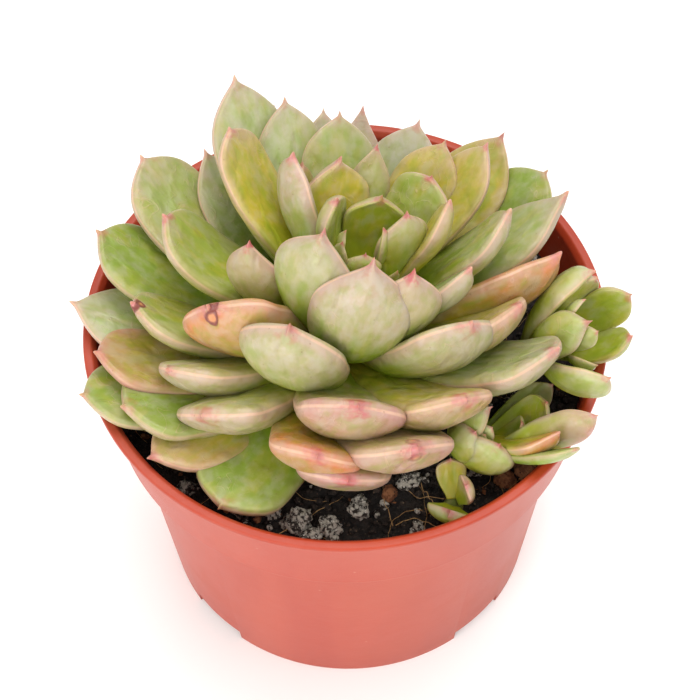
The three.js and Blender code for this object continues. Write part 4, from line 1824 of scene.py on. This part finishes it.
MAIN_LEAVES = [
    # outer leaves at the back
    Leaf(131, 56, 33.5, 15, 17, 45, 0, Tint.GREY),
    Leaf(124, 57, 54.5, 23, 22, 50, 0, Tint.GREY),
    Leaf(111, 56.5, 41.5, 20, 17, 40, 0, Tint.GREY),
    Leaf(113, 48.5, 51.5, 25, 19, 50, 0, Tint.GREY),
    Leaf(100, 48.5, 46.5, 21, 14, 40, 0, Tint.GREY),
    Leaf(97, 40, 53.5, 27, 19, 50, 0, Tint.SAGE, sway=0.04),
    Leaf(88, 50.5, 46.5, 21, 15, 40, 0, Tint.MAUVE, Tip.DRAWN),
    Leaf(71, 48, 48.5, 21, 20, 40, 0, Tint.LAVENDER),
    Leaf(57, 36.5, 56, 27, 17, 45, 0, Tint.YELLOW),
    Leaf(49, 56, 50, 20, 20, 45, 0, Tint.YELLOW),
    Leaf(35, 58.5, 47, 17, 21, 40, 0, Tint.DEEP, Tip.BLUNT),
    Leaf(21, 53.5, 54, 22, 19, 45, -15, Tint.PALE, Tip.DRAWN),
    # low leaves at the back, under the outer ones
    Leaf(140, 54, 24, 12, 20, 35, 0, Tint.GREY),
    Leaf(118, 51, 27, 10, 21, 30, 0, Tint.SAGE),
    Leaf(96, 50, 28, 12, 20, 30, 0, Tint.GREY),
    Leaf(74, 50, 30, 10, 21, 30, 0, Tint.SAGE),
    Leaf(52, 51, 32, 12, 20, 30, 0, Tint.GREY),
    # left side
    Leaf(138, 43, 55.5, 29, 17, 60, 12, Tint.YELLOW, Tip.BLUNT, sway=0.12),
    Leaf(144, 65, 33, 18, 24, 50, 0, Tint.SAGE, Tip.BLUNT),
    Leaf(164, 48.5, 38, 23, 20, 55, 8, Tint.GREEN, Tip.BLUNT),
    Leaf(162, 65, 23.5, 15, 22, 45, 2, Tint.DEEP, Tip.BLUNT),
    Leaf(174, 67, 11, 11, 21, 35, -5, Tint.GREY),
    Leaf(-176, 52.5, 24.5, 18, 20, 55, 18, Tint.GREEN, Tip.BLUNT, scar=1.0),
    Leaf(-156, 39, 39, 25, 25, 65, 60, Tint.ORANGE, Tip.BLUNT, bend=Bend.ROOT, cup=-0.03, scar=1.0),
    Leaf(-169, 61, 14.5, 14, 21, 45, 6, Tint.RUST, Tip.BLUNT),
    Leaf(-162, 65.5, 8.5, 10, 21, 35, 0, Tint.DEEP, Tip.BLUNT),
    Leaf(-153, 48.5, 22.5, 17, 21, 48, 38, Tint.CREAM, Tip.BLUNT, cup=-0.03),
    Leaf(-154, 58.5, 12, 13, 24, 45, 5, Tint.DEEP, Tip.BLUNT),
    Leaf(-142, 57.5, 5.5, 10, 20, 30, 0, Tint.WARM),
    Leaf(-136, 47.5, 20, 14, 24, 48, 38, Tint.CREAM, Tip.ROUND, cup=-0.05),
    Leaf(-121, 54.5, 3, 12, 24, 30, 0, Tint.DEEP, Tip.BLUNT),
    # front
    Leaf(-91, 41.5, 38.5, 14, 25, 62, 0, Tint.PINK, Tip.ROUND, cup=-0.05),
    Leaf(-100, 47.5, 26, 9, 23, 58, 0, Tint.ORANGE, Tip.ROUND, cup=-0.06),
    Leaf(-74, 49.5, 33, 11, 25, 60, 0, Tint.PINK, Tip.ROUND, cup=-0.04, scar=0.4),
    Leaf(-90, 48, 19.5, 9, 23, 50, 0, Tint.ROSE, Tip.ROUND, cup=-0.05),
    Leaf(-57, 44.5, 39.5, 16, 23, 58, -10, Tint.WARM, Tip.ROUND, cup=-0.05),
    Leaf(-26, 51.5, 43.5, 17, 23, 55, -14, Tint.PALE, Tip.BLUNT),
    Leaf(-123, 32.5, 48, 15, 26, 66, 15, Tint.PALE, bend=Bend.ROOT),
    Leaf(-42, 33, 49, 20, 24, 65, -25, Tint.PALE, Tip.BLUNT, bend=Bend.ROOT),
    # right side
    Leaf(5, 48.5, 48, 20, 22, 50, -60, Tint.ORANGE),
    Leaf(-19, 39.5, 46.5, 22, 22, 55, -22, Tint.WARM, Tip.BLUNT),
    Leaf(13, 35, 57, 27, 18, 50, -30, Tint.SAGE),
    Leaf(43, 40, 59.5, 28, 16, 50, -15, Tint.YELLOW),
    # inner leaves round the crown
    Leaf(131, 27, 56, 30, 17, 50, 70, Tint.MAUVE),
    Leaf(123, 27, 51, 28, 13, 50, 40, Tint.WARM),
    Leaf(109, 21.5, 56, 31, 17, 50, 0, Tint.YELLOW, Tip.DRAWN, sway=-0.06),
    Leaf(84, 26, 56.5, 31, 10, 50, 0, Tint.TIPPED, Tip.DRAWN),
    Leaf(46, 22, 57.5, 33, 16, 50, 0, Tint.GREEN, Tip.BLUNT),
    Leaf(14, 19, 61, 33, 14, 50, -30, Tint.YELLOW, Tip.DRAWN, bend=Bend.ROOT),
    Leaf(-23, 26, 54.5, 30, 16, 60, -18, Tint.PALE, Tip.DRAWN, bend=Bend.ROOT),
    Leaf(-175, 27, 48, 27, 15, 110, 60, Tint.TIPPED, Tip.DRAWN, bend=Bend.ROOT),
    Leaf(-137, 14.5, 61.5, 24, 21, 70, 15, Tint.PALE, Tip.DRAWN, bend=Bend.ROOT, sway=-0.05),
    Leaf(-92, 18, 62.5, 22, 24, 80, 0, Tint.MAUVE, Tip.DRAWN, bend=Bend.ROOT),
    Leaf(-63, 20, 60, 26, 19, 70, -15, Tint.TIPPED, Tip.DRAWN, bend=Bend.ROOT),
    Leaf(136, 10, 55.5, 34, 13, 45, 20, Tint.GREEN),
    Leaf(69, 9.5, 56, 34, 15, 40, 22, Tint.BRIGHT, Tip.DRAWN, bend=Bend.ROOT, cup=CUPPED),
    Leaf(9, 8.5, 59, 33, 14, 50, -70, Tint.GREEN, Tip.DRAWN, bend=Bend.ROOT),
    Leaf(-61, 14, 53, 37, 5, 30, 0, Tint.BRIGHT, Tip.DRAWN),
    # buds
    Leaf(-171, 5, 53, 38, 5, 30, 0, Tint.BRIGHT, Tip.DRAWN),
    Leaf(-145, 7, 52.5, 38, 5, 30, 0, Tint.BRIGHT, Tip.DRAWN),
    Leaf(-13, 3.5, 55, 38, 7, 30, 0, Tint.BRIGHT, Tip.DRAWN),
    Leaf(-90, 5, 50.5, 38, 9, 30, 0, Tint.BRIGHT, Tip.DRAWN),
]

RIGHT_LEAVES = [
    Leaf(125, 12.5, 32, 3, 14, 40, 20, Tint.GREEN, Tip.DRAWN),
    Leaf(109, 11.5, 29.5, 10, 10, 40, 0, Tint.GREEN),
    Leaf(61, 9, 33, 9, 11, 30, 0, Tint.BRIGHT),
    Leaf(-17, 6.5, 31, 10, 10, 30, 0, Tint.BRIGHT),
    Leaf(-161, 7, 30, 5, 11, 50, 0, Tint.GREEN, Tip.DRAWN),
    Leaf(-136, 5.5, 29.5, 14, 6, 30, 0, Tint.GREEN),
    Leaf(-103, 18, 33, 8, 12, 45, 0, Tint.GREEN),
    Leaf(-104, 12.5, 28, 14, 5, 30, 0, Tint.GREEN, Tip.DRAWN),
    Leaf(156, 8.5, 29, 13, 5, 30, 0, Tint.GREEN, Tip.DRAWN),
]

FRONT_LEAVES = [
    Leaf(-172, 6, 21, 3, 11, 100, 0, Tint.GREEN, bend=Bend.ROOT),
    Leaf(-134, 7, 19, 7, 5, 40, 0, Tint.GREEN),
    Leaf(-10, 4, 18.5, 8, 7, 55, 0, Tint.BRIGHT, Tip.BLUNT, cup=CUPPED),
    Leaf(22, 8.5, 24, 7, 9.5, 60, 0, Tint.BRIGHT, cup=CUPPED),
    Leaf(43, 17.5, 21, 3, 8, 40, 0, Tint.GREEN),
    Leaf(-61, 11.5, 31, 9.5, 11, 35, 10, Tint.ORANGE, Tip.DRAWN),
    Leaf(-63, 17.5, 33.5, 5, 8.5, 20, 0, Tint.DEEP, Tip.ROUND),
    Leaf(-33, 14, 38, 6.5, 9, 20, -95, Tint.ROSE),
    Leaf(-108, 9.5, 19, 2, 13, 60, 0, Tint.GREEN, Tip.BLUNT),
    Leaf(-143, 11, 18, 4, 10, 90, 0, Tint.GREEN, bend=Bend.ROOT),
    Leaf(-132, 9, 17.5, 8, 4, 30, 0, Tint.BRIGHT, Tip.DRAWN),
]

SHOOT_LEAVES = [
    Leaf(93, 9.5, 8.5, 3, 7.5, 50, 0, Tint.YELLOW),
    Leaf(-110, 4, 8, 3.5, 11, 45, 0, Tint.BRIGHT, Tip.BLUNT, cup=CUPPED),
    Leaf(18, 2.5, 13, 4, 7, 40, 0, Tint.PINK),
]

YOUNG = "aeb27a"  # underside of the offsets' leaves

HEADS = [
    Head(
        "rosette_main",
        Stem((-4, -7, 78), lean=12, bearing=30, radius=6, top=38),
        MAIN_LEAVES,
        LeafFinish("main_leaf"),
        seed=1,
    ),
    Head(
        "offset_right",
        Stem((44, -8, 84), lean=42, bearing=-12, radius=3.2, top=17),
        RIGHT_LEAVES,
        LeafFinish("right_leaf", underside=YOUNG),
        seed=2,
    ),
    Head(
        "offset_front",
        Stem((29, -31, 79), lean=30, bearing=0, radius=3, top=9),
        FRONT_LEAVES,
        LeafFinish("front_leaf", underside=YOUNG),
        seed=3,
    ),
    Head(
        "shoot_front",
        Stem((25, -46, 78), lean=10, bearing=-90, radius=2.4, top=2.6),
        SHOOT_LEAVES,
        LeafFinish("shoot_leaf", underside=YOUNG),
        seed=4,
    ),
]


# ------------------------------------------------------------------ studio


@dataclass(frozen=True)
class Lamp:
    """A square soft light that faces the plant: metres and watts."""

    name: str
    spot: tuple[float, float, float]
    size: float
    power: float
    tone: tuple[float, float, float] = (1.0, 1.0, 1.0)
    target: tuple[float, float, float] = (0, 0, 0.09)

    def build(self) -> None:
        """Sets it up in the scene."""
        lamp = bpy.data.lights.new(self.name, "AREA")
        lamp.shape = "SQUARE"
        lamp.size = self.size
        lamp.energy = self.power
        lamp.color = self.tone
        obj = bpy.data.objects.new(self.name, lamp)
        obj.location = self.spot
        aim = Vector(self.target) - Vector(self.spot)
        obj.rotation_euler = aim.to_track_quat("-Z", "Y").to_euler()
        bpy.context.scene.collection.objects.link(obj)


@dataclass
class Studio:
    """Pale floor, soft light and the camera at the photograph's angle.

    The camera's spot is in millimetres from the pot's axis and foot, its elevation and roll are
    in degrees, and its aim is off by so many pixels at a focal length in pixels. Its near and far
    limits and the floor's size are in metres, and the floor's drop is in millimetres.
    """

    camera_spot: tuple[float, float, float] = (0, -291.84, 493.10)
    elevation: float = 53.96
    roll: float = -1.146
    aim_x: float = -4.19
    aim_y: float = -29.61
    focal_pixels: float = 2000.0
    focal: float = 102.86
    sensor: float = 36
    near: float = 0.05
    far: float = 20
    floor_size: float = 6.0
    floor_drop: float = 0.05
    sky: float = 0.68
    lamps: tuple[Lamp, ...] = (
        Lamp("key_light", (-0.6, -1.0, 0.62), 0.9, 11.6, (1.0, 0.99, 0.97)),
        Lamp("fill_light", (0.7, -0.5, 1.05), 1.2, 4.6, (0.97, 0.99, 1.0)),
        Lamp("top_light", (0.1, 0.35, 1.3), 1.0, 11.0),
    )

    def place_camera(self) -> None:
        """Sets up the camera, which looks at the pot's rim."""
        camera = bpy.data.objects.new("camera", bpy.data.cameras.new("camera"))
        bpy.context.scene.collection.objects.link(camera)
        camera.data.sensor_width = self.sensor
        camera.data.lens = self.focal
        camera.data.clip_start = self.near
        camera.data.clip_end = self.far
        lift = math.radians(self.elevation)
        above = [0, math.sin(lift), math.cos(lift)]
        ahead = [0, math.cos(lift), -math.sin(lift)]
        axes = np.array([[1, 0, 0], above, ahead])
        swing = math.atan(self.aim_x / self.focal_pixels)
        tilt = -math.atan(self.aim_y / self.focal_pixels * math.cos(swing))
        turns = ((tilt, 1, 2), (swing, 0, 2), (math.radians(self.roll), 0, 1))
        for angle, first, second in turns:
            turn = np.eye(3)
            turn[first, first] = turn[second, second] = math.cos(angle)
            turn[first, second] = math.sin(angle)
            turn[second, first] = -math.sin(angle)
            axes = turn @ axes
        right, above, ahead = axes
        view = Matrix(np.column_stack([right, above, -ahead]).tolist())
        spot = np.array(self.camera_spot) * MM + AXIS
        camera.matrix_world = Matrix.Translation(spot.tolist()) @ view.to_4x4()
        bpy.context.scene.camera = camera

    def lay_floor(self, effects: Effects) -> None:
        """Lays the floor just under the pot's foot.

        Args:
            effects: the shared shader groups.
        """
        half = self.floor_size / 2
        mesh = bpy.data.meshes.new("studio_floor")
        corners = [(-half, -half, 0), (half, -half, 0), (half, half, 0), (-half, half, 0)]
        mesh.from_pydata(corners, [], [[0, 1, 2, 3]])
        mesh.materials.append(FloorFinish().material(effects))
        floor = bpy.data.objects.new("studio_floor", mesh)
        floor.location.z = float(AXIS[2]) - self.floor_drop * MM
        bpy.context.scene.collection.objects.link(floor)

    def light_world(self) -> None:
        """Sets up the even light from all sides."""
        world = bpy.data.worlds.new("studio_world")
        world.use_nodes = True
        graph = Graph(world.node_tree)
        sky = graph.add("ShaderNodeBackground")
        graph.wire(sky, {"Color": (1, 1, 1, 1), "Strength": self.sky})
        graph.wire(graph.add("ShaderNodeOutputWorld"), {"Surface": sky.outputs[0]})
        bpy.context.scene.world = world

    def build(self, effects: Effects) -> None:
        """Sets up floor, lights, world and camera.

        Args:
            effects: the shared shader groups.
        """
        self.lay_floor(effects)
        for lamp in self.lamps:
            lamp.build()
        self.light_world()
        bpy.context.scene.view_settings.view_transform = "Standard"
        self.place_camera()


def main() -> None:
    """Builds the potted plant and the studio round it."""
    logging.basicConfig(level=logging.INFO, format="%(name)s %(message)s")
    effects = Effects()
    pot = Pot()
    for part in (pot, Soil(pot), *HEADS):
        for piece in part.build(effects):
            LOG.info("%s: %d faces", piece.name, len(piece.data.polygons))
    Studio().build(effects)


if __name__ == "__main__":
    main()
